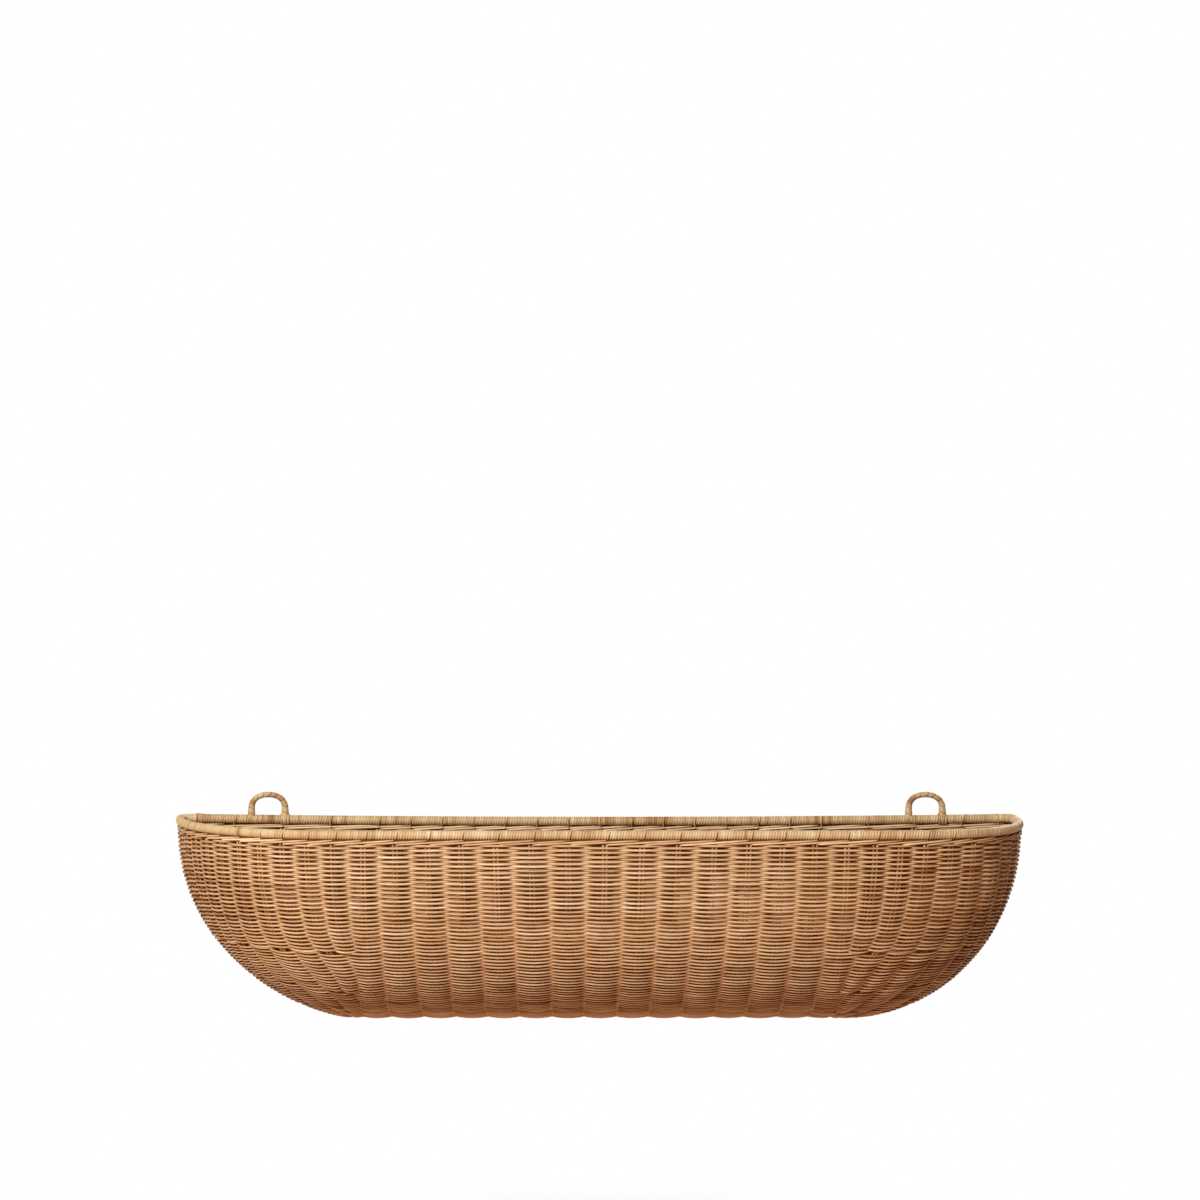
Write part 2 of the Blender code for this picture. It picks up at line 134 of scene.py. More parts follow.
def in_scene(name: str, data: bpy.types.ID) -> bpy.types.Object:
    """Makes an object and links it to the scene.

    Args:
        name: Its name.
        data: Its mesh, lamp or camera.

    Returns:
        The object.
    """
    made = bpy.data.objects.new(name, data)
    bpy.context.scene.collection.objects.link(made)
    return made


def set_inputs(tree: bpy.types.NodeTree, node: bpy.types.Node, inputs: dict[str | int, object]) -> None:
    """Links or sets inputs of a node.

    Args:
        tree: The node tree.
        node: The node.
        inputs: For each input, a socket that feeds it or a plain value.
    """
    for key, value in inputs.items():
        if isinstance(value, bpy.types.NodeSocket):
            tree.links.new(value, node.inputs[key])
        else:
            node.inputs[key].default_value = value


def add_node(
    tree: bpy.types.NodeTree, kind: str, inputs: dict[str | int, object] | None = None, **fields: object
) -> bpy.types.Node:
    """Adds a node.

    Args:
        tree: The node tree.
        kind: Its type.
        inputs: For each input, a socket that feeds it or a plain value.
        fields: Its other settings.

    Returns:
        The node.
    """
    node = tree.nodes.new(kind)
    for name, value in fields.items():
        setattr(node, name, value)
    set_inputs(tree, node, inputs or {})
    return node


@dataclass(frozen=True)
class Line:
    """A line of points with the distance along it from a chosen zero."""

    points: Array
    places: Array

    @classmethod
    def through(cls, points: Array, zero_x: float | None = None) -> "Line":
        """A line through points.

        Args:
            points: One row for each point.
            zero_x: Where given, distances are counted from the first place with this x.

        Returns:
            The line.
        """
        places = walked_along(points)
        if zero_x is not None:
            places = places - np.interp(zero_x, points[:, 0], places)
        return cls(points, places)

    def at(self, places: Array) -> Array:
        """Points at the given distances along the line."""
        return np.stack([np.interp(places, self.places, self.points[:, k]) for k in range(3)], axis=-1)

    def direction(self, places: Array, step: float) -> Array:
        """Unit tangents at the given distances, from points a step to both sides."""
        return unit(self.at(places + step) - self.at(places - step))

    def resampled(self, step: float, smoothing: int) -> "Line":
        """The same line with even steps, and its kinks softened.

        Args:
            step: Distance between neighbouring points.
            smoothing: How many times neighbouring points are averaged.

        Returns:
            The new line, with distances from its first point.
        """
        count = max(int((self.places[-1] - self.places[0]) / step), 2)
        points = self.at(np.linspace(self.places[0], self.places[-1], count + 1))
        for _ in range(smoothing):
            points[1:-1] = (points[:-2] + 2 * points[1:-1] + points[2:]) / 4
        return Line.through(points)


@dataclass(frozen=True)
class BowlEnd:
    """One end of the bowl: its side of the wall, its curves' exponents and how its columns narrow rearwards."""

    side: int
    plan: float
    reach: float
    fall: float
    taper: float


@dataclass(frozen=True)
class BowlShape:
    """The middle surface of the bowl's weave: level curves below each other."""

    half_width: float = 0.3463
    front_reach: float = 0.1563
    drop: float = 0.1635
    seam: float = 0.198
    reach_exponent: float = 2.09
    drop_exponent: float = 2.06
    ends: tuple[BowlEnd, BowlEnd] = (BowlEnd(-1, 2.00, 1.57, 2.26, 0.09), BowlEnd(1, 3.10, 1.95, 2.08, -0.10))
    curve_samples: int = 140
    sample_exponent: float = 1.5
    profile_samples: int = 4000
    climb: float = 0.013
    climb_along: Fade = Fade(0, 0.45)
    climb_below: Fade = Fade(0.07, 0.11)
    climb_end: float = 0.075
    widening: float = 0.05
    widened_rows: Fade = Fade(0.08, 0.06)

    @property
    def rim_height(self) -> float:
        """Height of the rim's centre line."""
        return self.drop / 2

    @property
    def samples(self) -> Array:
        """Where the curves are sampled at each end, from 0 at the seam to 1 at the wall."""
        return np.linspace(0, 1, self.curve_samples) ** self.sample_exponent

    def depth(self, share: Values) -> Values:
        """Distance of the straight front from the wall at a share of the drop."""
        return self.front_reach * np.maximum(1 - share**self.drop_exponent, 0) ** (1 / self.reach_exponent)

    def share_at(self, depth: float) -> float:
        """Share of the drop where the straight front comes back to a distance from the wall."""
        return (1 - (depth / self.front_reach) ** self.reach_exponent) ** (1 / self.drop_exponent)

    def height(self, share: Values) -> Values:
        """Height at a share of the drop."""
        return self.rim_height - self.drop * share

    def edge(self, end: BowlEnd, share: Values) -> Values:
        """Place along the wall where an end meets the flat back, at a share of the drop."""
        left = np.maximum(1 - share**end.fall, 0) ** (1 / end.reach)
        return end.side * (self.seam + (self.half_width - self.seam) * left)

    def sag(self, x: Values) -> Values:
        """How far the back rim hangs below its ends, at a place along the wall."""
        return ROD.back_rim_sag * np.maximum(1 - (x / self.half_width) ** 2, 0)

    def curve(self, shares: Array, rear_depth: float) -> Line:
        """A curve round the bowl, from the left rear edge to the right one.

        Args:
            shares: Share of the drop at each sample, the same at both ends.
            rear_depth: Distance in front of the wall where the curve ends.

        Returns:
            The curve, with distances counted from the middle of the front.
        """
        depth = self.depth(shares)
        back = np.minimum(rear_depth / np.maximum(depth, rear_depth), 1)
        sides = []
        for end in self.ends:
            angles = np.arccos(back ** (end.plan / 2)) * self.samples
            along = np.sin(angles) ** (2 / end.plan) * (np.abs(self.edge(end, shares)) - self.seam)
            front = np.cos(angles) ** (2 / end.plan) * depth
            sides.append(points_at(end.side * (self.seam + along), -front, self.height(shares)))
        return Line.through(np.concatenate([sides[0][::-1], sides[1]]), zero_x=0.0)

    def level(self, share: float, rear_depth: float) -> Line:
        """The level curve at a share of the drop, ending at a distance in front of the wall."""
        return self.curve(np.full(self.curve_samples, share), rear_depth)

    def profile(self) -> Arrays:
        """Distances walked down the straight front, from rim to wall, and the share of the drop at each."""
        shares = np.sin(np.linspace(0, math.pi / 2, self.profile_samples))
        return walked_along(np.stack([self.depth(shares), self.drop * shares], axis=1)), shares

    def row_shares(self, top: float, rear_depth: float, pitch: float) -> Array:
        """Shares of the drop for rows that lie a pitch apart on the straight front.

        Args:
            top: Distance of the first row below the rim.
            rear_depth: Distance in front of the wall where the rows stop.
            pitch: Distance between rows along the surface.

        Returns:
            One share for each row, from the top down.
        """
        walked, shares = self.profile()
        widened = 1 + self.widening * self.widened_rows.at(walked)
        rows = np.concatenate(([0.0], np.cumsum(np.diff(walked) / widened[1:])))
        first, last = np.interp((top / self.drop, self.share_at(rear_depth)), shares, rows)
        return np.interp(np.arange(first, last, pitch), rows, shares)

    def tilted_row(self, share: float, rear_depth: float) -> tuple[Line, Array]:
        """A row of the weft, which climbs from the seams towards the ends, most of all low down.

        Args:
            share: Share of the drop along the straight front.
            rear_depth: Distance in front of the wall where the row ends.

        Returns:
            The row, with distances from the middle of the front, and the share of the drop at each point.
        """
        walked, shares = self.profile()
        start = np.interp(share, shares, walked)
        low = self.climb_below.at(start) * Fade(walked[-1], -self.climb_end).at(start)
        climbed = np.interp(start - self.climb * low * self.climb_along.at(self.samples), walked, shares)
        return self.curve(climbed, rear_depth), np.concatenate([climbed[::-1], climbed])


@dataclass(frozen=True)
class StakeLayout:
    """Where the stake pairs stand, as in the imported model. Ranks count outwards from the middle pair."""

    shape: BowlShape
    middle_count: int = 15
    half_span: float = 0.189
    shift: float = 0.0065
    spread_share: float = 0.08
    lean: float = 0.0040
    gather: float = 0.0045
    fan_count: int = 12
    root_shares: tuple[float, ...] = (0.58, 0.80, 0.93)
    closing_share: float = 0.55
    opening_share: float = 1.5
    low_shares: tuple[float, ...] = (0.55, 0.65, 1.00, 1.40, 1.60, 1.55, 0.85, 0.50, 0.45, 0.40, 0.40, 0.40)
    low_exponent: float = 2.0
    first_share: float = 1.12
    back_fan_count: int = 4
    back_edge_margin: float = 0.0037
    table_rows: int = 60
    table_top: float = 0.02
    table_margin: float = 0.002
    refinements: int = 4

    def middle(self, share: float) -> Array:
        """Where the middle pairs stand.

        Args:
            share: Share of the drop.

        Returns:
            Their places along the wall.
        """
        even = np.linspace(-1, 1, self.middle_count)
        spread = self.spread_share * np.sin(math.pi * even) / math.pi * (1 - share)
        return self.shift + self.half_span * (even + spread) - (self.lean + self.gather * even) * share**2

    def fan(self, end: BowlEnd, curve: Line, share: float, ended: bool = False) -> Arrays:
        """Numbers and places of the fan pairs that reach down to a share of the drop.

        Args:
            end: The end of the bowl.
            curve: The level curve at that share.
            share: Share of the drop.
            ended: Whether pairs that have ended higher up are counted too.

        Returns:
            The numbers of the pairs, from 1, and their distances along the curve.
        """
        numbers = np.arange(1, self.fan_count + 1)
        weights = 1 - end.taper * numbers / self.fan_count
        weights *= 1 + (np.array(self.low_shares) - 1) * share**self.low_exponent
        weights[0] *= self.first_share
        for k, root in enumerate(self.root_shares):
            closing = self.closing_share * (1 - root)
            weights[k] *= Fade(root + closing, -closing * self.opening_share).at(share)
        half = curve.points[:, 0] * end.side > self.shape.seam
        depths, places = curve.points[half, 1], curve.places[half] * end.side
        order = np.argsort(places)
        edge = np.interp(-ROD.edge_depth, depths[order], places[order])
        inner = self.middle(share)[-1 if end.side > 0 else 0] * end.side
        found = inner + np.cumsum(weights) * (edge - inner) / weights.sum()
        roots = np.append(self.root_shares, np.ones(self.fan_count - len(self.root_shares)))
        reached = (share <= roots) | ended
        return numbers[reached], found[reached] * end.side

    def ranked(self, left: Array, share: float, right: Array) -> Arrays:
        """Ranks and places of a row's pairs, from its fan pairs of both ends and its share of the drop."""
        places = np.concatenate((left[::-1], self.middle(share), right))
        return np.arange(len(places)) - len(left) - self.middle_count // 2, places

    def on_level(self, curve: Line, share: float) -> Arrays:
        """Ranks and places of all the pairs that the level curve at a share of the drop meets."""
        left, right = (self.fan(end, curve, share)[1] for end in self.shape.ends)
        return self.ranked(left, share, right)

    def fan_fractions(self) -> tuple[Array, list[Array]]:
        """Where the fan pairs stand at many shares of the drop, as fractions of each end's samples.

        Returns:
            The shares, and for each end an array by share and by number, from 0 at the seam to 1 at the wall.
        """
        bottom = self.shape.share_at(ROD.bowl_rear + self.table_margin)
        shares = np.linspace(self.table_top, bottom, self.table_rows)
        found: list[list[Array]] = [[], []]
        for share in shares:
            curve = self.shape.level(share, ROD.bowl_rear)
            for rows, end in zip(found, self.shape.ends):
                half = curve.points[:, 0] * end.side >= self.shape.seam - 1e-9
                places = np.sort(curve.places[half] * end.side)
                fan = self.fan(end, curve, share, ended=True)[1] * end.side
                rows.append(np.interp(fan, places, self.shape.samples))
        return shares, [np.array(rows) for rows in found]

    def on_row(
        self, row: Line, local: Array, share: float, fractions: tuple[Array, list[Array]]
    ) -> Arrays:
        """Ranks and places of all the pairs that a tilted row meets.

        Args:
            row: The row.
            local: Share of the drop at each of its points.
            share: Its share of the drop along the straight front.
            fractions: What fan_fractions returned.

        Returns:
            The ranks and the distances along the row, both rising.
        """
        count, samples = self.shape.curve_samples, self.shape.samples
        ends = []
        for half, table in zip((slice(count - 1, None, -1), slice(count, None)), fractions[1]):
            kept = []
            for number, column in enumerate(table.T):
                here = share
                for _ in range(self.refinements):
                    fraction = np.interp(here, fractions[0], column)
                    here = np.interp(fraction, samples, local[half])
                if number >= len(self.root_shares) or here <= self.root_shares[number]:
                    kept.append(np.interp(fraction, samples, row.places[half]))
            ends.append(np.array(kept))
        return self.ranked(ends[0], share, ends[1])

    def back(self, share: float) -> Arrays:
        """Where the pairs in the flat back stand.

        Args:
            share: Share of the drop.

        Returns:
            Their ranks and places along the wall.
        """
        middle = self.middle(1.0)
        steps = np.arange(1, self.back_fan_count + 1) / self.back_fan_count
        left, right = (
            inner + (self.shape.edge(end, share) - end.side * self.back_edge_margin - inner) * steps
            for end, inner in zip(self.shape.ends, (middle[0], middle[-1]))
        )
        half = self.middle_count // 2 + self.back_fan_count
        return np.arange(-half, half + 1), np.concatenate((left[::-1], middle, right))


@dataclass
class MeshParts:
    """Gathers tubes and sleeves into one mesh with a grain position and a tone at each vertex."""

    seed: int
    # Painted shade: how much light each face of the weave keeps, and how dark the weave's depths are painted.
    face_shades: Pair = (1.0, 1.0)
    depth_shade: float = 0.63
    cap_length: float = 0.45
    cap_size: float = 0.62
    buried: Pair = (0.0015, 0.0021)
    facing_light: Pair = (0.35, 0.75)
    grain_shift: float = 9.0
    vertices: list[Array] = field(default_factory=list)
    grain: list[Array] = field(default_factory=list)
    tone: list[Array] = field(default_factory=list)
    quads: list[Array] = field(default_factory=list)
    caps: list[Array] = field(default_factory=list)
    count: int = 0

    def __post_init__(self) -> None:
        """Seeds the random numbers."""
        self.random = np.random.default_rng(self.seed)

    def keep(self, rings: Array, grain: Array, tone: Array) -> int:
        """Stores a block of rings.

        Args:
            rings: Vertices by ring and by side.
            grain: Grain positions in the same order.
            tone: Tones in the same order.

        Returns:
            The number of the first vertex.
        """
        first = self.count
        self.vertices.append(rings.reshape(-1, 3))
        self.grain.append(grain.reshape(-1, 3))
        self.tone.append(tone.reshape(-1))
        self.count += rings.shape[0] * rings.shape[1]
        return first

    def open_air(self, facing: Array, place: Array) -> Array:
        """Share of light that would reach a woven strand's surface from the better of the weave's two faces;
        what is missing is painted into its tone as shade.

        Args:
            facing: How far the surface turns to the outer face, from -1 to 1.
            place: Its distance out of the weave's middle.

        Returns:
            One share of light for each vertex.
        """
        (start, length), (least, gain) = self.buried, self.facing_light
        return np.maximum(*(
            np.clip((side * place + start) / length, 0, shade) * np.clip(least + gain * side * facing, 0, 1)
            for side, shade in zip((1, -1), self.face_shades)
        ))

    def tube(
        self,
        centres: Array,
        across: Array,
        thick: Values,
        high: Values,
        tone: Values,
        sides: int = 8,
        swing: Array | None = None,
        contact_shade: float = 0.0,
    ) -> None:
        """Adds a closed tube with an oval section and rounded ends.

        Args:
            centres: Points of the centre line.
            across: The direction of the section's height, or one for each point.
            thick: Half of the section's thickness.
            high: Half of the section's height.
            tone: Tone from 0, dark, to 1, pale.
            sides: Number of sides of the section.
            swing: Distance out of the weave's middle, where the tube is woven, so that painted shade darkens its
                depths.
            contact_shade: How much darker the tube's top and bottom are, where it lies against others.
        """
        woven = swing is not None
        thick, high, tone, swing = (
            np.broadcast_to(v, len(centres)).astype(float) for v in (thick, high, tone, swing if woven else 0.0)
        )
        tangents = unit(np.gradient(centres, axis=0))
        caps = [centres[k] + tangents[k] * sign * thick[k] * self.cap_length for k, sign in ((0, -1), (-1, 1))]
        centres = np.concatenate((caps[:1], centres, caps[1:]))
        rows = np.concatenate(([0], np.arange(len(tangents)), [len(tangents) - 1]))
        tangents, across = tangents[rows], np.broadcast_to(across, tangents.shape)[rows]
        shrink = np.ones(len(rows))
        shrink[[0, -1]] = self.cap_size
        thick, high, tone, swing = thick[rows] * shrink, high[rows] * shrink, tone[rows], swing[rows]
        across = unit(square_to(across, tangents))
        normals = np.cross(across, tangents)
        turns = 2 * math.pi * np.arange(sides) / sides
        out = thick[:, None] * np.cos(turns)
        side = high[:, None] * np.sin(turns)
        rings = centres[:, None] + out[..., None] * normals[:, None] + side[..., None] * across[:, None]
        along = walked_along(centres)[:, None] + self.random.uniform(0, self.grain_shift)
        shift = self.random.uniform(0, 1)
        # Painted shade: darker top and bottom where the tube lies against others, and on woven tubes darker
        # where little light reaches into the weave.
        tone = tone[:, None] - contact_shade * np.abs(np.sin(turns)) ** 3
        if woven:
            tone = tone - self.depth_shade * (1 - self.open_air(np.cos(turns), swing[:, None] + out))
        first = self.keep(rings, points_at(along, out + shift, side), tone)
        ring = np.arange(sides)
        following = (ring + 1) % sides
        starts = first + sides * np.arange(len(rows) - 1)[:, None]
        corners = (starts + ring, starts + following, starts + sides + following, starts + sides + ring)
        self.quads.append(np.stack(corners, axis=2).reshape(-1, 4))
        self.caps += [first + ring[::-1], first + sides * (len(rows) - 1) + ring]

    def sleeve(self, rings: Array, grain: Array, tone: Array, places: Array, lead: int) -> None:
        """Adds a wound sleeve, whose rings climb so that each meets a later one after a full turn.

        Args:
            rings: Vertices by ring and by side.
            grain: Grain positions in the same order.
            tone: Tones in the same order.
            places: Distances along the line in the same order. Faces of no length are left out.
            lead: How many rings one turn climbs.
        """
        count, sides = rings.shape[:2]
        row, side = np.meshgrid(np.arange(count - lead - 1), np.arange(sides), indexing="ij")
        wraps = side == sides - 1
        here = row * sides + side
        following = np.where(wraps, (row + lead) * sides, here + 1)
        quads = np.stack((here, here + sides, following + sides, following), axis=2).reshape(-1, 4)
        quads = quads[np.ptp(places.reshape(-1)[quads], axis=1) > 1e-7]
        used, numbers = np.unique(quads, return_inverse=True)
        picked = (values.reshape(count * sides, 1, -1)[used] for values in (rings, grain, tone))
        self.quads.append(self.keep(*picked) + numbers.reshape(-1, 4))

    def build(self, name: str, finish: "RattanFinish", *nodes: str) -> None:
        """Makes the object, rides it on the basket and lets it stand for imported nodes.

        Args:
            name: Name of the new piece.
            finish: Its finish.
            nodes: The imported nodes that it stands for.
        """
        mesh = bpy.data.meshes.new(name)
        vertices, quads = np.concatenate(self.vertices), np.concatenate(self.quads)
        loops = np.concatenate([quads.ravel(), *self.caps])
        sizes = np.concatenate((np.full(len(quads), 4), [len(cap) for cap in self.caps])).astype(np.int32)
        mesh.vertices.add(len(vertices))
        mesh.vertices.foreach_set("co", vertices.astype(np.float32).ravel())
        mesh.loops.add(len(loops))
        mesh.loops.foreach_set("vertex_index", loops.astype(np.int32))
        mesh.polygons.add(len(sizes))
        mesh.polygons.foreach_set("loop_start", (np.cumsum(sizes) - sizes).astype(np.int32))
        mesh.update(calc_edges=True)
        mesh.shade_smooth()
        for label, kind, key, values in (
            ("grain", "FLOAT_VECTOR", "vector", self.grain), ("tone", "FLOAT", "value", self.tone)
        ):
            data = mesh.attributes.new(label, kind, "POINT").data
            data.foreach_set(key, np.concatenate(values).astype(np.float32).ravel())
        mesh.materials.append(finish.material())
        piece = in_scene(name, mesh)
        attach(piece, BODY)
        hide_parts(*nodes)
        LOG.info("%s: %d faces", name, len(sizes))


class GrainGroup:
    """The shader node group that reads a piece's grain position and tone, and adds fibres and blotches."""

    name = "rattan_grain"
    inputs = {"Along Scale": 40.0, "Across Scale": 2200.0, "Fibre Weight": 0.2, "Blotch Weight": 0.2}
    blotch_scale = 60.0
    detail = 2.0

    def build(self) -> bpy.types.NodeTree:
        """The group, made once.

        Returns:
            The node tree, with the outputs Tone and Height.
        """
        if self.name in bpy.data.node_groups:
            return bpy.data.node_groups[self.name]
        tree = bpy.data.node_groups.new(self.name, "ShaderNodeTree")
        for label, value in self.inputs.items():
            socket = tree.interface.new_socket(label, in_out="INPUT", socket_type="NodeSocketFloat")
            socket.default_value = value
        for label in ("Tone", "Height"):
            tree.interface.new_socket(label, in_out="OUTPUT", socket_type="NodeSocketFloat")
        given = add_node(tree, "NodeGroupInput").outputs
        grain, tone = (
            add_node(tree, "ShaderNodeAttribute", attribute_name=name).outputs for name in ("grain", "tone")
        )
        across = given["Across Scale"]
        scales = add_node(tree, "ShaderNodeCombineXYZ", {"X": given["Along Scale"], "Y": across, "Z": across})
        sides = {0: grain["Vector"], 1: scales.outputs["Vector"]}
        stretched = add_node(tree, "ShaderNodeVectorMath", sides, operation="MULTIPLY").outputs
        shifted, noises = tone["Fac"], []
        for source, scale, weight in (
            (stretched, 1.0, "Fibre Weight"), (grain, self.blotch_scale, "Blotch Weight")
        ):
            settings = {"Vector": source["Vector"], "Scale": scale, "Detail": self.detail}
            noises.append(add_node(tree, "ShaderNodeTexNoise", settings).outputs["Fac"])
            centred = add_node(tree, "ShaderNodeMath", {0: noises[-1], 1: 0.5}, operation="SUBTRACT").outputs[0]
            added = {0: centred, 1: given[weight], 2: shifted}
            shifted = add_node(tree, "ShaderNodeMath", added, operation="MULTIPLY_ADD").outputs[0]
        add_node(tree, "NodeGroupOutput", {"Tone": shifted, "Height": noises[0]})
        return tree


@dataclass(frozen=True)
class RattanFinish:
    """One finish of rattan or cane: three colours from dark to pale, its gloss, bump and grain."""

    name: str
    slot: Slot
    dark: Colour
    middle: Colour
    pale: Colour
    roughness: float = 0.5
    gloss: float = 0.05
    bump: float = 0.00006
    grain: tuple[float, float, float, float] = (60.0, 2500.0, 0.5, 0.4)
    stops: tuple[float, float, float] = (0.08, 0.5, 0.92)
    dull: float = 0.12
    worn: float = 0.08
    shine_from: float = 0.15
    shine_to: float = 0.6
    specular: float = 0.2
    coat_roughness: float = 0.35

    def material(self) -> bpy.types.Material:
        """The material, made once.

        Returns:
            A Principled material whose colour, roughness, coat and bump follow the grain group.
        """
        if self.name in bpy.data.materials:
            return bpy.data.materials[self.name]
        made = bpy.data.materials.new(self.name)
        made.use_nodes = True
        tree = made.node_tree
        group = add_node(tree, "ShaderNodeGroup", node_tree=GrainGroup().build())
        set_inputs(tree, group, dict(zip(GrainGroup.inputs, self.grain)))
        tone, height = group.outputs["Tone"], group.outputs["Height"]
        # The tone holds painted light and shade besides the rattan's own tones, so the ramp's dark end mostly
        # shows painted shade.
        ramp = add_node(tree, "ShaderNodeValToRGB", {"Fac": tone})
        ramp.color_ramp.interpolation = "EASE"
        ramp.color_ramp.elements.new(self.stops[1])
        colours = self.dark, self.middle, self.pale
        for stop, place, colour in zip(ramp.color_ramp.elements, self.stops, colours):
            stop.position, stop.color = place, (*colour, 1)
        dull, worn = self.roughness + self.dull, self.roughness - self.worn
        rough = add_node(tree, "ShaderNodeMapRange", {"Value": tone, "To Min": dull, "To Max": worn})
        shine = {"Value": tone, "From Min": self.shine_from, "From Max": self.shine_to, "To Max": self.gloss}
        coat = add_node(tree, "ShaderNodeMapRange", shine)
        bump = add_node(tree, "ShaderNodeBump", {"Distance": self.bump, "Height": height})
        set_inputs(tree, tree.nodes["Principled BSDF"], {
            "Base Color": ramp.outputs["Color"],
            "Roughness": rough.outputs["Result"],
            "Normal": bump.outputs["Normal"],
            "Coat Weight": coat.outputs["Result"],
            "Coat Roughness": self.coat_roughness,
            "Specular IOR Level": self.specular,
        })
        return made


WEFT_FINISH = RattanFinish(
    "weft_rattan", Slot.WEFT, (0.23, 0.062, 0.006), (0.70, 0.455, 0.230), (0.97, 0.81, 0.59)
)
STAKE_FINISH = RattanFinish(
    "stake_rattan", Slot.STAKE, (0.30, 0.11, 0.025), (0.68, 0.42, 0.20), (0.92, 0.70, 0.44)
)
BORDER_FINISH = RattanFinish(
    "border_rattan", Slot.BORDER, (0.22, 0.07, 0.012), (0.66, 0.41, 0.20), (0.94, 0.74, 0.48)
)
WRAP_FINISH = RattanFinish(
    "wound_cane", Slot.CANE_WRAP, (0.34, 0.14, 0.045), (0.66, 0.47, 0.240), (0.89, 0.76, 0.52), 0.45, 0.1
)


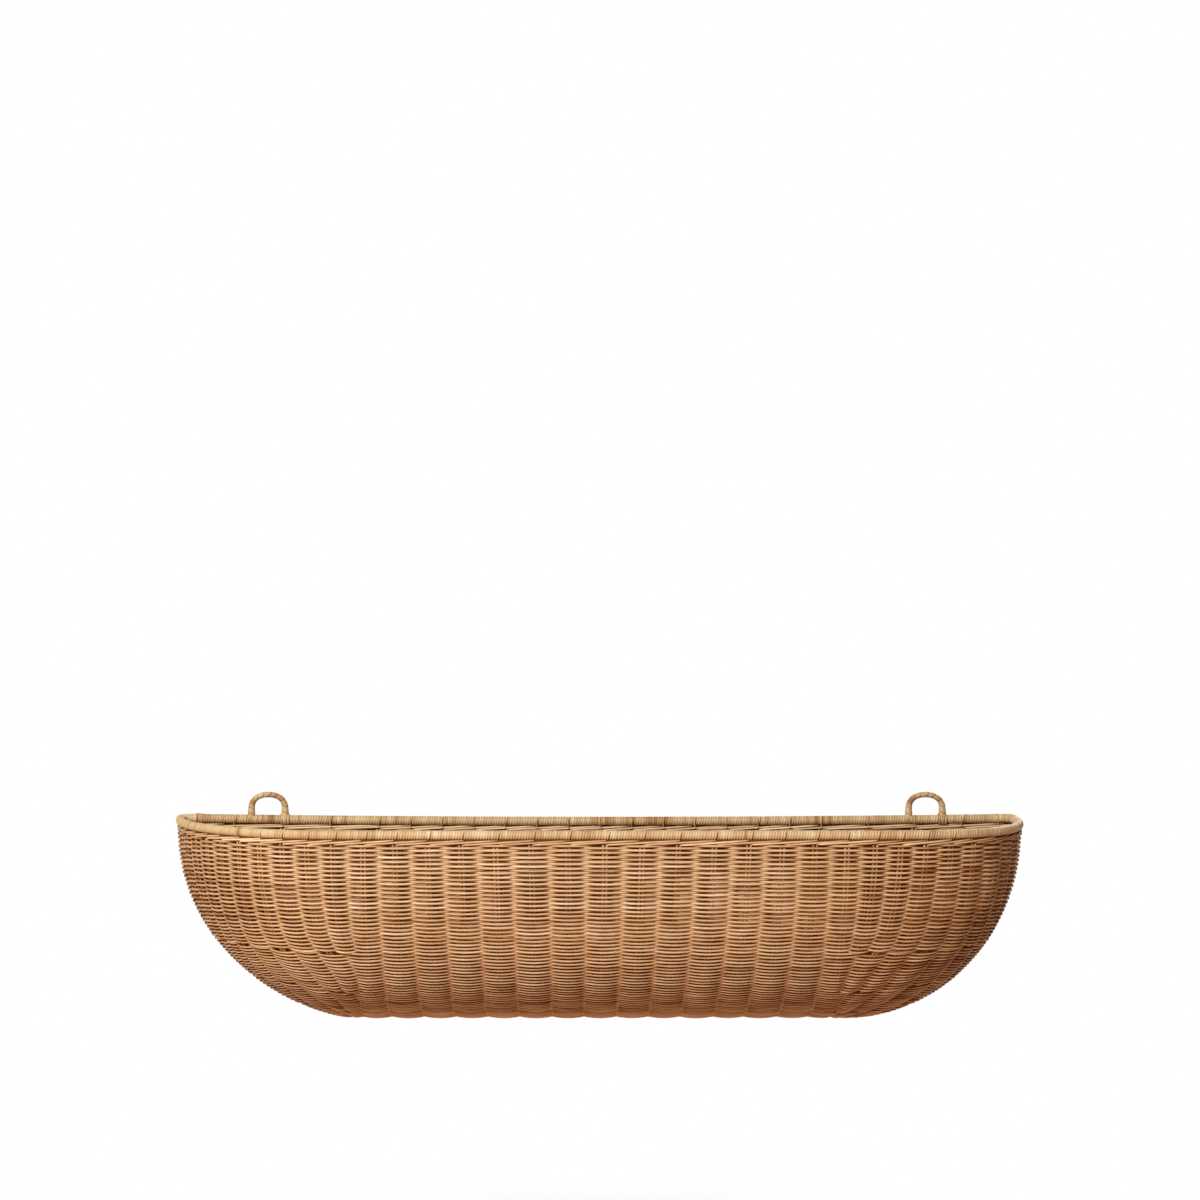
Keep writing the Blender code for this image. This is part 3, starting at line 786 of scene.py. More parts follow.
@dataclass
class Weft:
    """The woven strands of the bowl and of the flat back."""

    shape: BowlShape
    layout: StakeLayout
    steps: int = 8
    turn_steps: int = 6
    turn_reach: float = 0.0067
    open_end: float = 0.009
    end_gap: float = 0.004
    rear_gap: float = 0.0006
    strand_share: float = 0.565
    low_thinning: float = 0.07
    low_rows: Fade = Fade(0.5, 0.35)
    last_thinning: float = 0.22
    last_rows: Fade = Fade(0.9, 0.08)
    back_strand_share: float = 0.76
    back_swing: float = 0.0017
    back_turn_reach: float = 0.0050
    back_overhang: float = 0.0014
    back_samples: int = 60
    room: Fade = Fade(0.001, 0.005)
    bulge_sizes: Pair = (0.84, 1.04)
    bulge_count: int = 61
    swing_sizes: Pair = (0.92, 1.03)
    crossing: Pair = (0.7, 0.3)
    wander: float = 0.00009
    spacing: Pair = (0.0007, 1.2)
    length_tone: Pair = (0.56, 0.065)
    joins: int = 3
    stake_tone: float = 0.04
    top: Fade = Fade(0.02, 0.05)
    top_light: float = 0.05
    deep: Fade = Fade(0.02, -0.06)
    low_shade: float = 0.10
    full_reach: float = 1.08
    bright_x: float = -0.045
    ends: Fade = Fade(0.14, 0.17)
    end_shade: float = 0.16
    end_relief: float = 0.65
    bands: int = 4
    back_bands: int = 2
    # Painted shade on the weave's inner face.
    inner_shade: float = 0.55
    seed: int = 7
    bulge_seed: int = 97

    def __post_init__(self) -> None:
        """Seeds the random numbers and chooses how far the strands bulge at each stake pair."""
        self.random = np.random.default_rng(self.seed)
        self.bulges = np.random.default_rng(self.bulge_seed).uniform(*self.bulge_sizes, self.bulge_count)

    def sides(self, ranks: Array, places: Array, row: int, reach: float) -> Array:
        """How far a strand stands out of the weave's middle, outside one stake pair and inside the next.

        Args:
            ranks: Ranks of the stake pairs.
            places: Their distances along the row.
            row: Number of the row, which alternates the side.
            reach: Full distance from the middle surface to the strand's centre.

        Returns:
            One signed distance for each stake pair.
        """
        sides = np.where((ranks + row) % 2 == 0, 1.0, -1.0)
        gaps = np.diff(places, prepend=-np.inf, append=np.inf)
        sides = sides * reach * self.room.at(np.minimum(gaps[:-1], gaps[1:]))
        sides = sides * self.bulges[ranks.astype(int) % self.bulge_count]
        return sides * self.random.uniform(*self.swing_sizes, len(ranks))

    def tones(self, count: int) -> Array:
        """Tones of a row, which change where one length of rattan follows another.

        Args:
            count: Number of stake pairs on the row.

        Returns:
            One tone for each stake pair.
        """
        chosen = np.full(count, self.random.normal(*self.length_tone))
        for start in self.random.integers(0, count, self.joins):
            chosen[start:] = self.random.normal(*self.length_tone)
        return chosen + self.random.normal(0, self.stake_tone, count)

    def shaded(self, tone: Array, here: Array, swing: Array, reach: float) -> Array:
        """A strand's tones, with painted light near the rim, and painted shade at the ends and in the low gaps.

        Args:
            tone: Tone at each point.
            here: The points.
            swing: Distance of the strand out of the weave's middle at each point.
            reach: The most that it may be.

        Returns:
            The new tones.
        """
        deep = self.deep.at(here[:, 2])
        ends = self.ends.at(np.abs(here[:, 0] - self.bright_x))
        tone = tone + self.top_light * self.top.at(here[:, 2])
        tone = tone - self.end_shade * ends * (1 - self.end_relief * deep)
        return tone - self.low_shade * deep * (1 - np.abs(swing) / reach / self.full_reach)

    def add_row(
        self, parts: MeshParts, row: int, lines: list[Line], stakes: Arrays,
        reach: float, strand_share: float, turn_reach: float,
    ) -> None:
        """Adds one row of the weft with the turn that leads to the next one.

        Args:
            parts: The mesh under construction.
            row: Number of the row.
            lines: Curves of the row above, of the row itself and of the row below.
            stakes: Ranks of the stake pairs on the row and their distances along it.
            reach: Distance from the middle surface to the strand's centre where it passes a pair.
            strand_share: Half height of the strand as a share of the distance between rows.
            turn_reach: How far the turn goes past the last stake pair.
        """
        before, base, following = lines
        ranks, places = stakes
        sides, tones = self.sides(ranks, places, row, reach), self.tones(len(ranks))
        last_index = len(ranks) - 1
        grid = np.linspace(0, last_index, last_index * self.steps + 1)
        index = np.minimum(grid.astype(int), last_index - 1)
        wave = np.cos(math.pi * (grid - index))
        even, steep = self.crossing
        crossing = 0.5 - 0.5 * (even * wave + steep * np.sin(math.pi / 2 * wave))
        along = np.interp(grid, np.arange(len(ranks)), places)
        swing = sides[index] + (sides[index + 1] - sides[index]) * crossing
        tone = np.interp(grid, np.arange(len(ranks)), tones)
        side = 1 if row % 2 == 0 else -1
        turn = np.linspace(0, math.pi, self.turn_steps + 1)[1:]
        last = -1 if side > 0 else 0
        turned = (
            (along, places[last] + side * turn_reach * np.sin(turn)),
            (swing, swing[last] * np.cos(turn)),
            (tone, np.full(len(turn), tone[last])),
            (np.zeros(len(grid)), turn / math.pi),
        )
        along, swing, tone, lowered = (
            np.concatenate((row_part, turn_part) if side > 0 else (turn_part[::-1], row_part))
            for row_part, turn_part in turned
        )
        here = base.at(along)
        below, above = (
            line.at(along * np.where(along > 0, *(line.places[[-1, 0]] / base.places[[-1, 0]])))
            for line in (following, before)
        )
        tangents = unit(np.gradient(here, axis=0))
        tangents[lowered > 0] = tangents[len(grid) - 2 if side > 0 else self.turn_steps + 1]
        down = square_to(below - above, tangents)
        spacing = np.linalg.norm(down, axis=1) / 2
        down = unit(down)
        outward = np.cross(down, tangents)
        wander = np.interp(along, places, self.random.normal(0, self.wander, len(places)))
        lowered = lowered[:, None]
        centres = here * (1 - lowered) + below * lowered + outward * swing[:, None] + down * wander[:, None]
        high = np.clip(spacing, self.spacing[0], ROD.row_pitch * self.spacing[1]) * strand_share
        tone = self.shaded(tone, here, swing, reach)
        parts.tube(centres, down, np.minimum(high, ROD.strand_thick), high, tone, swing=swing)

    def closed_corners(self, ranks: Array, places: Array, row: Line) -> Arrays:
        """Leads a row whose fan pairs have run out on to the wall, so that it closes the bottom corner.

        Args:
            ranks: Ranks of the stake pairs on the row.
            places: Their distances along it.
            row: The row's curve.

        Returns:
            Ranks and places with one more crossing at each open end.
        """
        if places[0] - row.places[0] > self.open_end:
            ranks, places = np.append(ranks[0] - 1, ranks), np.append(row.places[0] + self.end_gap, places)
        if row.places[-1] - places[-1] > self.open_end:
            ranks, places = np.append(ranks, ranks[-1] + 1), np.append(places, row.places[-1] - self.end_gap)
        return ranks, places

    def bowl(self) -> None:
        """Builds the bowl's rows in bands, from the rim down."""
        top, rear = ROD.first_row - ROD.row_pitch, ROD.bowl_rear + self.rear_gap
        shares = self.shape.row_shares(top, rear, ROD.row_pitch)
        rows_found = [self.shape.tilted_row(share, ROD.bowl_rear) for share in shares]
        curves = [curve for curve, _ in rows_found]
        fractions = self.layout.fan_fractions()
        for band, rows in enumerate(np.array_split(np.arange(1, len(shares) - 1), self.bands)):
            parts = MeshParts(self.seed + band, (1.0, self.inner_shade))
            for row in rows:
                stakes = self.layout.on_row(*rows_found[row], shares[row], fractions)
                stakes = self.closed_corners(*stakes, curves[row])
                reach = ROD.swing * (1 - self.last_thinning * self.last_rows.at(shares[row]))
                strand_share = self.strand_share - self.low_thinning * self.low_rows.at(shares[row])
                self.add_row(parts, row, curves[row - 1:row + 2], stakes, reach, strand_share, self.turn_reach)
            parts.build(f"bowl_weft_{band + 1}", WEFT_FINISH, "bowl_weave")

    def back_curve(self, share: float, fade: float) -> Line:
        """A row of the flat back, which follows the rim's sag near the top.

        Args:
            share: Share of the drop.
            fade: Share of the rim's sag that the row follows.

        Returns:
            The row, with distances counted from x = 0.
        """
        ends = (self.shape.edge(end, share) + end.side * self.back_overhang for end in self.shape.ends)
        x = np.linspace(*ends, self.back_samples)
        height = self.shape.height(share) - self.shape.sag(x) * fade
        return Line.through(points_at(x, -ROD.back_middle, height), zero_x=0.0)

    def back(self) -> None:
        """Builds the rows of the flat back in bands. They turn between the turns of the bowl's rows."""
        top, pitch = (length / self.shape.drop for length in (ROD.first_row - ROD.row_pitch, ROD.row_pitch))
        shares = np.arange(top, 1.0, pitch)
        curves = [self.back_curve(share, 1 - k / len(shares)) for k, share in enumerate(shares)]
        for band, rows in enumerate(np.array_split(np.arange(1, len(shares) - 1), self.back_bands)):
            parts = MeshParts(self.seed + self.bands + band, (self.inner_shade, 1.0))
            for row in rows:
                lines, stakes = curves[row - 1:row + 2], self.layout.back(shares[row])
                sizes = self.back_swing, self.back_strand_share, self.back_turn_reach
                self.add_row(parts, row + 1, lines, stakes, *sizes)
            parts.build(f"back_weft_{band + 1}", WEFT_FINISH, "back_weave")


@dataclass
class Stakes:
    """The stake pairs, each two round rods side by side in the middle of the weave."""

    shape: BowlShape
    layout: StakeLayout
    levels: int = 34
    front_length: float = 0.251
    bend_radius: float = 0.0035
    bend_steps: int = 4
    rise_points: int = 12
    aside: float = 0.001
    root_margin: float = 0.001
    back_root_margin: float = 0.0005
    back_bottom: float = 0.999
    shaded_pair_tone: Pair = (0.36, 0.10)
    rod_tone: float = 0.06
    sides: int = 10
    seed: int = 21

    def __post_init__(self) -> None:
        """Seeds the random numbers."""
        self.random = np.random.default_rng(self.seed)

    def pair(self, name: str, centres: Array, sideways: Array) -> None:
        """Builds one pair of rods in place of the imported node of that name.

        Args:
            name: Name of the node.
            centres: Points midway between the rods.
            sideways: The direction from rod to rod, or one for each point.
        """
        parts = MeshParts(int(self.random.integers(1, 10**6)))
        # The pairs' low tones are painted shade for rods that stand deep in the weave.
        base = self.random.normal(*self.shaded_pair_tone)
        for side in (-1, 1):
            tone = base + self.random.normal(0, self.rod_tone)
            rod = centres + unit(sideways) * side * ROD.stake_offset
            parts.tube(rod, sideways, ROD.stake, ROD.stake, tone, self.sides)
        parts.build(f"{name}_rods", STAKE_FINISH, name)

    def middle(self) -> None:
        """Builds the middle pairs, from the front border round under the bowl and up the back."""
        depth = ROD.back_middle + self.bend_radius
        shares = self.shape.row_shares(ROD.stake_top, depth, self.front_length / self.levels)
        shares = np.append(shares, self.shape.share_at(depth))
        places = np.stack([self.layout.middle(share) for share in shares])
        turn = math.pi / 2 * np.arange(1, self.bend_steps + 1) / self.bend_steps
        for k in range(self.layout.middle_count):
            line = points_at(places[:, k], -self.shape.depth(shares), self.shape.height(shares))
            x, low = line[-1, 0], line[-1, 2] + self.bend_radius
            top = self.shape.rim_height - ROD.stake_top - self.shape.sag(x)
            rise = np.linspace(low, top, self.rise_points)[1:]
            y = np.append(self.bend_radius * np.sin(turn) - depth, np.full_like(rise, -ROD.back_middle))
            z = np.append(low - self.bend_radius * np.cos(turn), rise)
            self.pair(f"middle_stake_{k + 1:02d}", np.concatenate((line, points_at(x, y, z))), ALONG)

    def fans(self) -> None:
        """Builds the fan pairs of both ends of the bowl down to their packed roots."""
        shares = self.shape.row_shares(ROD.stake_top, ROD.edge_depth, self.front_length / self.levels)
        curves = [self.shape.level(share, ROD.bowl_rear) for share in shares]
        for end, word in zip(self.shape.ends, ("left", "right")):
            found: dict[int, list[Arrays]] = {}
            for share, curve in zip(shares, curves):
                numbers, places = self.layout.fan(end, curve, share)
                points = curve.at(places)
                for number, point, step in zip(numbers, points, curve.at(places + self.aside) - points):
                    found.setdefault(int(number), []).append((point, step))
            for number, rings in found.items():
                name = f"{word}_fan_stake_{number:02d}"
                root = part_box(name)[0].z - self.root_margin
                kept = zip(*(ring for ring in rings if ring[0][2] >= root))
                centres, sideways = (np.array(part) for part in kept)
                self.pair(name, centres, unit(sideways))

    def back_fans(self) -> None:
        """Builds the fan pairs of the flat back down to their packed roots."""
        count = self.layout.back_fan_count
        shares = np.linspace(ROD.stake_top / self.shape.drop, self.back_bottom, self.levels)
        rows = np.array([self.layout.back(share)[1] for share in shares])
        for word, first, step in (("left", count - 1, -1), ("right", -count, 1)):
            for number in range(1, count + 1):
                name = f"{word}_back_fan_stake_{number}"
                x = rows[:, first + step * (number - 1)]
                z = self.shape.height(shares) - self.shape.sag(x) * (1 - shares)
                centres = points_at(x, -ROD.back_middle, z)
                self.pair(name, centres[z >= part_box(name)[0].z - self.back_root_margin], ALONG)


@dataclass
class Border:
    """A border of turned-down stake ends, which rise to the right past the next stakes."""

    name: str
    curve: Line
    places: Array
    sag: Array
    rim_height: float
    seed: int
    outer_light: float = 0.0
    points: int = 18
    least_points: int = 4
    early_ends: int = 3
    late_places: int = 4
    span: float = 1.95
    reach_sizes: Pair = (0.96, 1.06)
    start_share: float = 0.6
    tangent_step: float = 0.0005
    radius: float = 0.0009
    face_offsets: Pair = (0.0017, 0.0020)
    low_wander: float = 0.00015
    emerging: Fade = Fade(-0.05, 0.15)
    tucking: Fade = Fade(0.75, 0.25)
    tip: Fade = Fade(0, 0.08)
    end_tone: Pair = (0.64, 0.12)
    shadow: Fade = Fade(0.8, 0.2)
    shadow_depth: float = 0.25
    contact_shade: float = 0.65
    sides: int = 10
    core_points: int = 240
    core_sides: int = 12
    core_share: float = 0.6
    core_drop: float = 0.0055
    core_half_height: float = 0.0026

    def line_at(self, along: Array, height: Values, out: Values) -> Array:
        """Points beside the border's curve.

        Args:
            along: Distances along the curve.
            height: Heights over the rim's centre line.
            out: Distances out of the curve.

        Returns:
            One point for each distance.
        """
        outward = np.cross(-UP, self.curve.direction(along, self.tangent_step))
        points = self.curve.at(along) + outward * np.broadcast_to(out, len(along))[:, None]
        points[:, 2] = self.rim_height + height - np.interp(along, self.places, self.sag)
        return points

    def add_end(self, parts: MeshParts, face: int, offset: float, start: float, reach: float) -> None:
        """Adds one stake end.

        Args:
            parts: The mesh under construction.
            face: 1 on the outer face and -1 on the inner one.
            offset: Distance from the curve.
            start: Place of its stake pair.
            reach: How far it goes along.
        """
        t = np.linspace(0, 1, self.points)
        along = start + face * ROD.stake_offset * self.start_share + reach * t
        inside = (along > self.curve.places[0]) & (along < self.curve.places[-1])
        if inside.sum() < self.least_points:
            return
        along, t = along[inside], t[inside]
        low = ROD.border_low + parts.random.normal(0, self.low_wander)
        out = self.emerging.at(t) * (1 - 0.5 * self.tucking.at(t)) * face * offset
        centres = self.line_at(along, -low + (low - ROD.border_high) * t, out)
        radius = self.radius * (0.5 + 0.5 * self.tip.at(t))
        # Painted shadow towards the tucked tip, and painted shade along the top and bottom where the ends lie
        # against each other.
        tone = parts.random.normal(*self.end_tone) - self.shadow_depth * self.shadow.at(t)
        tone = tone + self.outer_light * (face > 0)
        parts.tube(centres, UP, radius, radius, tone, self.sides, contact_shade=self.contact_shade)

    def build(self) -> None:
        """Builds a rod on each face for each stake pair, and a dark core, painted shade between the ends."""
        parts = MeshParts(self.seed)
        count, pitch = len(self.places), np.diff(self.places).mean()
        places = np.concatenate((self.places, self.places[-1] + pitch * np.arange(1, self.late_places + 1)))
        for k in range(-self.early_ends, count):
            start, reach = self.places[0] + pitch * k, pitch * self.span
            if k >= 0:
                start = self.places[k]
                reach = np.interp(k + self.span, np.arange(len(places)), places) - start
            for face, offset in zip((1, -1), self.face_offsets):
                self.add_end(parts, face, offset, start, reach * parts.random.uniform(*self.reach_sizes))
        along = np.linspace(*self.curve.places[[0, -1]], self.core_points)
        # The core takes the darkest tone: painted shade seen in the gaps between the ends.
        core, thick = self.line_at(along, -self.core_drop, 0.0), self.radius * self.core_share
        parts.tube(core, UP, thick, self.core_half_height, 0.0, self.core_sides)
        parts.build(f"{self.name}_ends", BORDER_FINISH, self.name)


@dataclass
class Winding:
    """A sleeve of wound cane round a line, with a groove between turns, and slits where the cane is drawn in."""

    line: Line
    radius: Array
    pitch: float
    upright: Array
    sides: int = 18
    phases: tuple[float, ...] = (0.0, 0.11, 0.5, 0.89)
    groove: float = 0.00034
    crown: float = 0.00010
    lap: float = 0.0
    lean: float = 0.12
    tangent_step: float = 0.0004
    slits: tuple[float, ...] = ()
    slit_phases: Pair = (0.34, 0.78)
    slit_depth: float = 0.0012
    slit_side: float = 0.66
    slit_window: Fade = Fade(0.24, -0.08)
    slit_shade: float = 0.6
    groove_shade: float = 0.4
    shade_sizes: Pair = (0.4, 1.5)
    base_tone: float = 0.52
    tone_spread: float = 0.1
    strip_turns: int = 7
    strip_spread: float = 0.7
    extra_turns: int = 3
    spare_tones: int = 8

    def add_to(self, parts: MeshParts) -> None:
        """Adds the sleeve to a mesh.

        Args:
            parts: The mesh under construction.
        """
        random, lead = parts.random, len(self.phases)
        turns = int(self.line.places[-1] / self.pitch) + self.extra_turns
        phases = np.tile(self.phases, turns).reshape(turns, lead)
        slit, in_groove = np.zeros((turns, lead)), np.zeros((turns, lead))
        for place in self.slits:
            turn = min(max(int(round(place / self.pitch)) + 1, 1), turns - 1)
            slit[turn, 0] = 1
            phases[turn, 1], phases[turn - 1, -1] = self.slit_phases
        in_groove[:, 0] = 1
        in_groove = in_groove.reshape(-1, 1)
        count = (np.arange(turns)[:, None] - 1 + phases).reshape(-1, 1)
        side = np.arange(self.sides) / self.sides
        climb = count + side + self.lean * (np.cos(2 * math.pi * side) - 1)
        places = np.clip(climb * self.pitch, 0, self.line.places[-1])
        tangents = self.line.direction(places, self.tangent_step)
        upright = unit(square_to(self.upright, tangents))
        angle = 2 * math.pi * side[None, :, None]
        direction = upright * np.cos(angle) + np.cross(upright, tangents) * np.sin(angle)
        opened = slit.reshape(-1, 1) * self.slit_window.at(np.abs(side - self.slit_side))
        cut = in_groove * self.groove + opened * self.slit_depth
        in_turn = np.mod(count, 1)
        bulge = self.crown * np.sin(math.pi * in_turn) + self.lap * in_turn
        radius = np.interp(places, self.line.places, self.radius) - cut + bulge
        rings = self.line.at(places) + direction * radius[..., None]
        numbers = np.arange(turns + self.spare_tones)
        spreads = (climb + 1, self.base_tone, 1.0), ((climb + 1) / self.strip_turns, 0, self.strip_spread)
        tones = [np.interp(at, numbers, random.normal(mean, self.tone_spread * share, len(numbers)))
                 for at, mean, share in spreads]
        shade = self.groove_shade * np.repeat(random.uniform(*self.shade_sizes, turns), lead)[:, None]
        tone = sum(tones) - shade * in_groove - self.slit_shade * opened
        length = climb * 2 * math.pi * float(np.mean(self.radius))
        parts.sleeve(rings, points_at(length, in_turn * self.pitch, 0.5), tone, places, lead)


@dataclass
class Rim:
    """The bound rim: a hoop round the front and a straight rod along the back."""

    shape: BowlShape
    layout: StakeLayout
    corner_steps: int = 10
    step: float = 0.001
    smoothing: int = 6
    slit_shift: float = 0.001
    back_samples: int = 80
    pitch: float = 0.00215
    cover: float = 0.00012
    front_tone: float = 0.54
    back_shaded_tone: float = 0.42
    end_swelling: float = 0.0003
    end_reach: Fade = Fade(0.008, -0.006)
    ring_swelling: float = 0.0006
    ring_reach: Fade = Fade(0.0065, -0.003)
    tie_angles: tuple[float, float, int] = (0.9, 2.3, 7)
    tie_lift: float = 0.0002
    tie_foot: tuple[Point, Point] = ((0.0003, -0.0012, -0.0045), (0.0006, -0.0011, -0.0062))
    tie_step: float = 0.0005
    tie_smoothing: int = 3
    tie_thick: float = 0.0003
    tie_width: float = 0.0005
    tie_widths: Pair = (0.8, 1.2)
    tie_tone: Pair = (0.42, 0.08)
    seeds: tuple[int, int] = (31, 32)

    def front_line(self) -> Line:
        """The hoop, from its left end round the front to its right end.

        Returns:
            Its centre line.
        """
        curve = self.shape.level(0.0, ROD.back_rim_depth + ROD.rim_corner)
        angles = math.pi / 2 * np.arange(1, self.corner_steps + 1) / self.corner_steps
        corners = []
        for start, side in ((curve.points[0], -1), (curve.points[-1], 1)):
            inward, rearward = ROD.rim_corner * (1 - np.cos(angles)), ROD.rim_corner * np.sin(angles)
            arc = start - side * inward[:, None] * ALONG - rearward[:, None] * OUT
            corners.append(np.concatenate((arc, arc[-1:] - ALONG * side * ROD.rim)))
        return Line.through(np.concatenate((corners[0][::-1], curve.points, corners[1])))

    def back_line(self) -> Line:
        """The back rod, between the ends of the hoop.

        Returns:
            Its centre line.
        """
        low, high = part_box("back_rim_wrap")
        x = np.linspace(low.x, high.x, self.back_samples)
        height = self.shape.rim_height - self.shape.sag(x)
        return Line.through(points_at(x, -ROD.back_rim_depth, height))

    def build(self) -> None:
        """Builds both wound wraps."""
        hoop = self.front_line()
        straight = slice(2 * self.corner_steps, -2 * self.corner_steps)
        middle = float(np.interp(0.0, hoop.points[straight, 0], hoop.places[straight]))
        stakes = self.layout.on_level(self.shape.level(0.0, ROD.bowl_rear), 0.0)[1]
        line = hoop.resampled(self.step, self.smoothing)
        self.wrap("front_rim_wrap", line, tuple(middle + stakes + self.slit_shift), self.seeds[0])
        back = self.back_line()
        self.wrap("back_rim_wrap", back, tuple(self.layout.back(0.0)[1] - back.points[0, 0]), self.seeds[1])

    def wrap(self, node: str, line: Line, slits: tuple[float, ...], seed: int) -> None:
        """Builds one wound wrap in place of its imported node.

        Args:
            node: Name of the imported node.
            line: Centre line of the rim.
            slits: Places along it where a stake's binding parts the turns.
            seed: Seed of the random tones.
        """
        parts = MeshParts(seed)
        radius, base_tone = np.full(len(line.places), ROD.rim - self.cover), self.front_tone
        if node == "back_rim_wrap":
            ends = self.end_reach.at(np.minimum(line.places, line.places[-1] - line.places))
            radius += self.end_swelling * ends + self.ring_swelling * self.ring_reach.at(line.places)
            # The back rim's lower tone is painted shade.
            base_tone = self.back_shaded_tone
            self.tie(parts, line.at(np.array(slits)))
        Winding(line, radius, self.pitch, UP, slits=slits, base_tone=base_tone).add_to(parts)
        parts.build(f"{node}_turns", WRAP_FINISH, node)

    def tie(self, parts: MeshParts, centres: Array) -> None:
        """Adds the strip at each stake that ties the back rim down to the border.

        Args:
            parts: The mesh under construction.
            centres: The rim's centre at each stake.
        """
        angles = np.linspace(*self.tie_angles)
        for centre in centres:
            ring = points_at(0, -np.sin(angles), np.cos(angles)) * (ROD.rim + self.tie_lift)
            line = Line.through(centre + np.concatenate((ring, self.tie_foot)))
            width = self.tie_width * parts.random.uniform(*self.tie_widths)
            tone = parts.random.normal(*self.tie_tone)
            strip = line.resampled(self.tie_step, self.tie_smoothing).points
            parts.tube(strip, ALONG, self.tie_thick, width, tone)


@dataclass
class HangingLoop:
    """A hanging loop wound with cane, lashed over the rim at its right foot."""

    side: str
    x: float
    shape: BowlShape
    seed: int
    half_width: float = 0.0140
    rise: float = 0.0206
    arch_height: float = 0.0105
    arch_exponent: float = 2.2
    arch_points: int = 60
    foot_depth: float = 0.002
    step: float = 0.001
    smoothing: int = 8
    leg_radius: float = 0.0031
    top_radius: float = 0.0022
    pitch: float = 0.0056
    phases: tuple[float, ...] = (0.0, 0.05, 0.35, 0.65, 0.95)
    lash_turns: Pair = (-0.15, 1.5)
    lash_points: int = 26
    lash_lift: float = 0.0005
    lash_spacing: float = 0.0026
    lash_layer: float = 0.0003
    lash_size: Pair = (0.00035, 0.0012)
    lash_tone: Pair = (0.5, 0.12)
    lash_contact_shade: float = 0.6

    def build(self) -> None:
        """Builds the wound loop and its lashing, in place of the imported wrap."""
        foot = np.array((self.x, -ROD.back_rim_depth, self.shape.rim_height - float(self.shape.sag(self.x))))
        turns = np.linspace(0, math.pi, self.arch_points)
        across = -np.sign(np.cos(turns)) * np.abs(np.cos(turns)) ** (2 / self.arch_exponent) * self.half_width
        rise = np.abs(np.sin(turns)) ** (2 / self.arch_exponent) * self.arch_height
        arch = foot + UP * (self.rise - self.arch_height) + across[:, None] * ALONG + rise[:, None] * UP
        legs = [foot + ALONG * side * self.half_width - UP * self.foot_depth for side in (-1, 1)]
        line = Line.through(np.concatenate((legs[:1], arch, legs[1:]))).resampled(self.step, self.smoothing)
        narrowing = Fade(foot[2], self.rise).at(line.points[:, 2])
        radius = self.leg_radius + (self.top_radius - self.leg_radius) * narrowing
        parts = MeshParts(self.seed)
        Winding(line, radius, self.pitch, OUT, phases=self.phases, groove=0.00026, crown=0.00005, lap=0.00016,
                groove_shade=0.5, base_tone=0.40, tone_spread=0.12).add_to(parts)
        self.lash(parts, foot + ALONG * self.half_width)
        parts.build(f"{self.side}_loop_winding", WRAP_FINISH, f"{self.side}_loop_wrap")

    def lash(self, parts: MeshParts, centre: Array) -> None:
        """Adds the strips that bind the right foot to the rim: three side by side, and two across them.

        Args:
            parts: The mesh under construction.
            centre: The rim's centre under the foot.
        """
        angles = math.pi * np.linspace(*self.lash_turns, self.lash_points)
        share = (angles - angles[0]) / (angles[-1] - angles[0])
        for start, finish in ((-1, -1), (0, 0), (1, 1), (-1, 1), (1, -1)):
            ring = ROD.rim + self.lash_lift + self.lash_layer * (start != finish)
            x = self.lash_spacing * (start + (finish - start) * share)
            points = centre + points_at(x, -ring * np.sin(angles), ring * np.cos(angles))
            # The strips get painted shade along their edges, where they lie against each other.
            parts.tube(points, ALONG, *self.lash_size, parts.random.normal(*self.lash_tone), contact_shade=self.lash_contact_shade)


@dataclass(frozen=True)
class Lamp:
    """A soft square lamp that faces the basket."""

    name: str
    place: Point
    size: float
    power: float
    aim: Point = (0, -0.08, 0)

    def build(self) -> None:
        """Adds the lamp to the scene."""
        data = bpy.data.lights.new(self.name, "AREA")
        data.size, data.energy = self.size, self.power
        made = in_scene(self.name, data)
        made.location = self.place
        made.rotation_euler = (Vector(self.aim) - made.location).to_track_quat("-Z", "Y").to_euler()


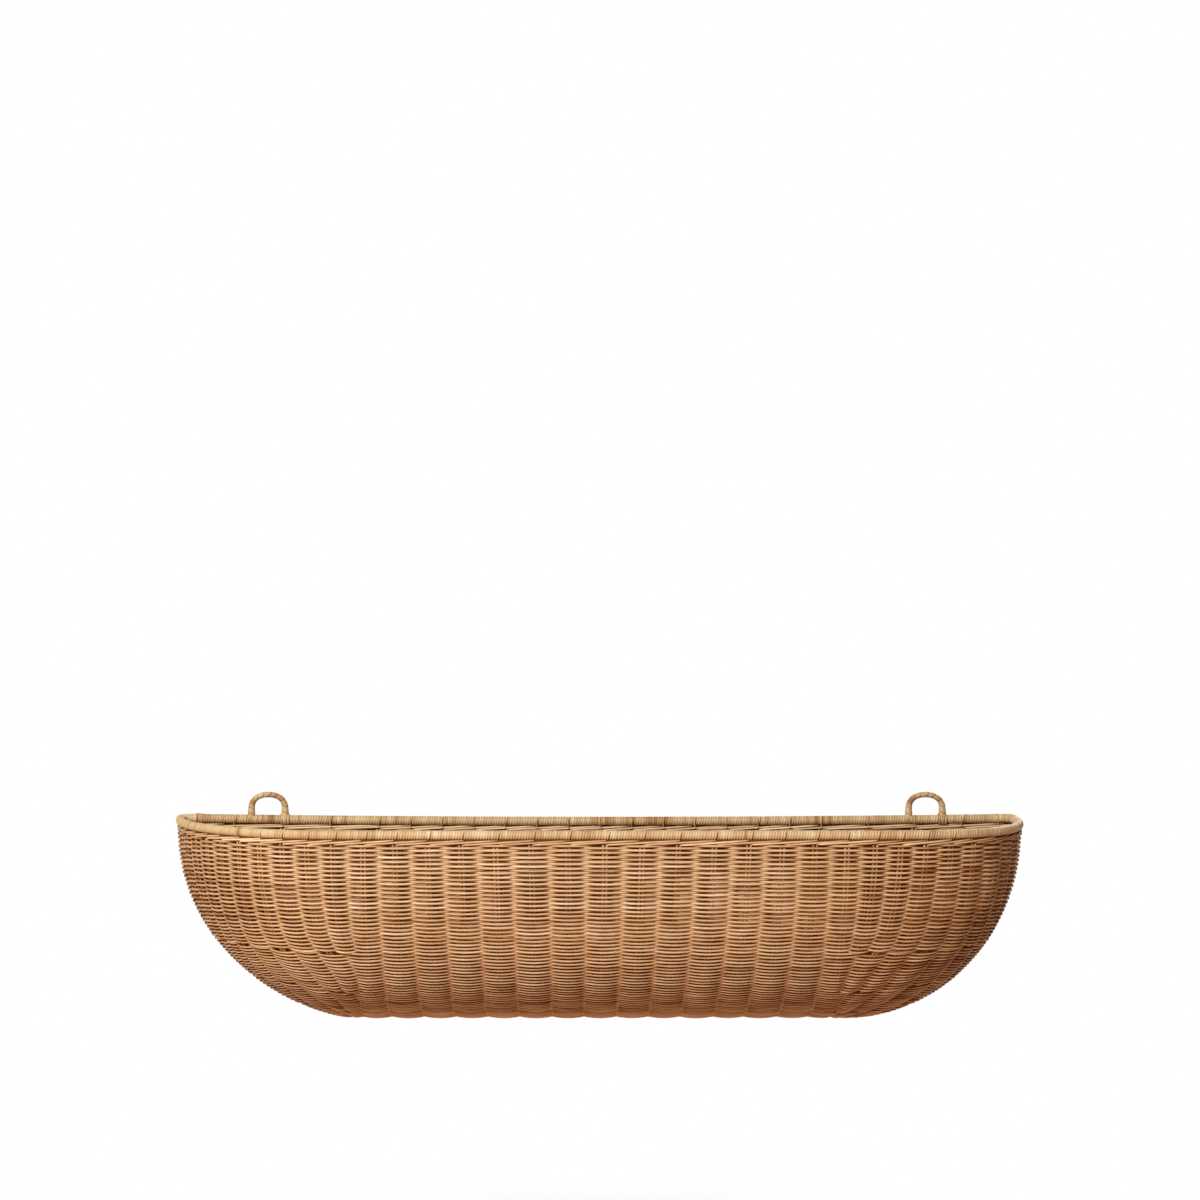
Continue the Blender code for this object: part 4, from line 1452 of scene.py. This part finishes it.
@dataclass
class Studio:
    """A pale floor below the basket, a soft lamp at the upper left, one behind, and the photo's camera."""

    floor_height: float = -0.42
    floor_half: float = 14.0
    floor_glow: Colour = (0.60, 0.37, 0.28)
    floor_seen: Colour = (0.80, 0.80, 0.80)
    floor_fade: Pair = (0.5, 1.0)
    floor_roughness: float = 0.9
    sky_colour: Colour = (1.0, 0.73, 0.56)
    sky_strength: float = 0.24
    camera_place: Point = (0.0026, -2.352, 0.28825)
    camera_pitch: float = -0.0105
    lens: float = 84.5
    sensor: float = 36.0
    clip: Pair = (0.05, 60)
    lamps: tuple[Lamp, ...] = (
        Lamp("key_lamp", (-1.1, -2.2, 1.46), 0.7, 74), Lamp("back_lamp", (0.9, 1.9, 1.1), 1.2, 20)
    )

    def camera(self) -> None:
        """Makes the scene's camera."""
        data = bpy.data.cameras.new("photo_camera")
        data.lens, data.sensor_width = self.lens, self.sensor
        data.clip_start, data.clip_end = self.clip
        made = in_scene("photo_camera", data)
        made.location = self.camera_place
        made.rotation_euler = (math.pi / 2 + self.camera_pitch, 0, 0)
        bpy.context.scene.camera = made

    def floor(self) -> None:
        """Makes the pale floor, which fades into the white background away from the basket."""
        mesh = bpy.data.meshes.new("studio_floor")
        half = self.floor_half
        corners = [(-half, -half, 0), (half, -half, 0), (half, half, 0), (-half, half, 0)]
        mesh.from_pydata(corners, [], [(0, 1, 2, 3)])
        mesh.materials.append(self.floor_material())
        made = in_scene("studio_floor", mesh)
        made.location = (0, 0, self.floor_height)

    def floor_material(self) -> bpy.types.Material:
        """Pale grey for the camera, warm for the light that it throws back, and plain white further out.

        Returns:
            The material.
        """
        made = bpy.data.materials.new("studio_floor")
        made.use_nodes = True
        tree = made.node_tree
        ray = add_node(tree, "ShaderNodeLightPath").outputs
        shade = add_node(tree, "ShaderNodeValToRGB", {"Fac": ray["Is Camera Ray"]})
        for stop, colour in zip(shade.color_ramp.elements, (self.floor_glow, self.floor_seen)):
            stop.color = (*colour, 1)
        shader = tree.nodes["Principled BSDF"]
        set_inputs(tree, shader, {"Base Color": shade.outputs["Color"], "Roughness": self.floor_roughness})
        place = add_node(tree, "ShaderNodeNewGeometry").outputs["Position"]
        far = add_node(tree, "ShaderNodeVectorMath", {0: place}, operation="LENGTH").outputs["Value"]
        near, out = self.floor_fade
        reach = {"Value": far, "From Min": near, "From Max": out}
        fade = add_node(tree, "ShaderNodeMapRange", reach, interpolation_type="SMOOTHSTEP").outputs["Result"]
        rays = {0: ray["Is Camera Ray"], 1: ray["Is Glossy Ray"]}
        seen = add_node(tree, "ShaderNodeMath", rays, operation="MAXIMUM").outputs[0]
        both = add_node(tree, "ShaderNodeMath", {0: seen, 1: fade}, operation="MULTIPLY").outputs[0]
        white = add_node(tree, "ShaderNodeEmission").outputs["Emission"]
        mix = add_node(tree, "ShaderNodeMixShader", {"Fac": both, 1: shader.outputs["BSDF"], 2: white})
        set_inputs(tree, tree.nodes["Material Output"], {"Surface": mix.outputs["Shader"]})
        return made

    def world(self) -> None:
        """White for the camera, and a soft even sky for the light."""
        bpy.context.scene.world = world = bpy.data.worlds.new("studio_sky")
        world.use_nodes = True
        tree = world.node_tree
        tree.nodes.clear()
        glow = {"Color": (*self.sky_colour, 1), "Strength": self.sky_strength}
        sky, white = (
            add_node(tree, "ShaderNodeBackground", inputs).outputs["Background"]
            for inputs in (glow, {"Color": (1, 1, 1, 1)})
        )
        ray = add_node(tree, "ShaderNodeLightPath").outputs
        rays = {0: ray["Is Camera Ray"], 1: ray["Is Transmission Ray"]}
        seen = add_node(tree, "ShaderNodeMath", rays, operation="MAXIMUM").outputs[0]
        mix = add_node(tree, "ShaderNodeMixShader", {"Fac": seen, 1: sky, 2: white})
        add_node(tree, "ShaderNodeOutputWorld", {"Surface": mix.outputs["Shader"]})

    def build(self) -> None:
        """Makes camera, floor, sky and lamps."""
        self.camera()
        self.floor()
        self.world()
        for lamp in self.lamps:
            lamp.build()
        bpy.context.scene.view_settings.view_transform = "Standard"


def dress_carried_nodes() -> None:
    """Gives the rods inside the wraps, which stay as packed, the stakes' rattan."""
    for name in ("front_rim_rod", "back_rim_rod", "left_loop_rod", "right_loop_rod"):
        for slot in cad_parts[name].material_slots:
            slot.material = STAKE_FINISH.material()


def main() -> None:
    """Builds the basket's pieces and the studio, in order."""
    logging.basicConfig(level=logging.INFO, format="%(message)s")
    Studio().build()
    shape = BowlShape()
    layout = StakeLayout(shape)
    weft = Weft(shape, layout)
    weft.bowl()
    weft.back()
    stakes = Stakes(shape, layout)
    stakes.middle()
    stakes.fans()
    stakes.back_fans()
    share = (ROD.border_low + ROD.border_high) / 2 / shape.drop
    front = shape.level(share, ROD.bowl_rear)
    places = layout.on_level(front, share)[1]
    Border("front_border", front, places, np.zeros(len(places)), shape.rim_height, 51).build()
    places = layout.back(share)[1]
    back = weft.back_curve(share, 0.0)
    Border("back_border", back, places, shape.sag(places), shape.rim_height, 52, outer_light=0.12).build()
    Rim(shape, layout).build()
    for side, x, seed in (("left", -0.274, 41), ("right", 0.274, 42)):
        HangingLoop(side, x, shape, seed).build()
    dress_carried_nodes()


if __name__ == "__main__":
    main()
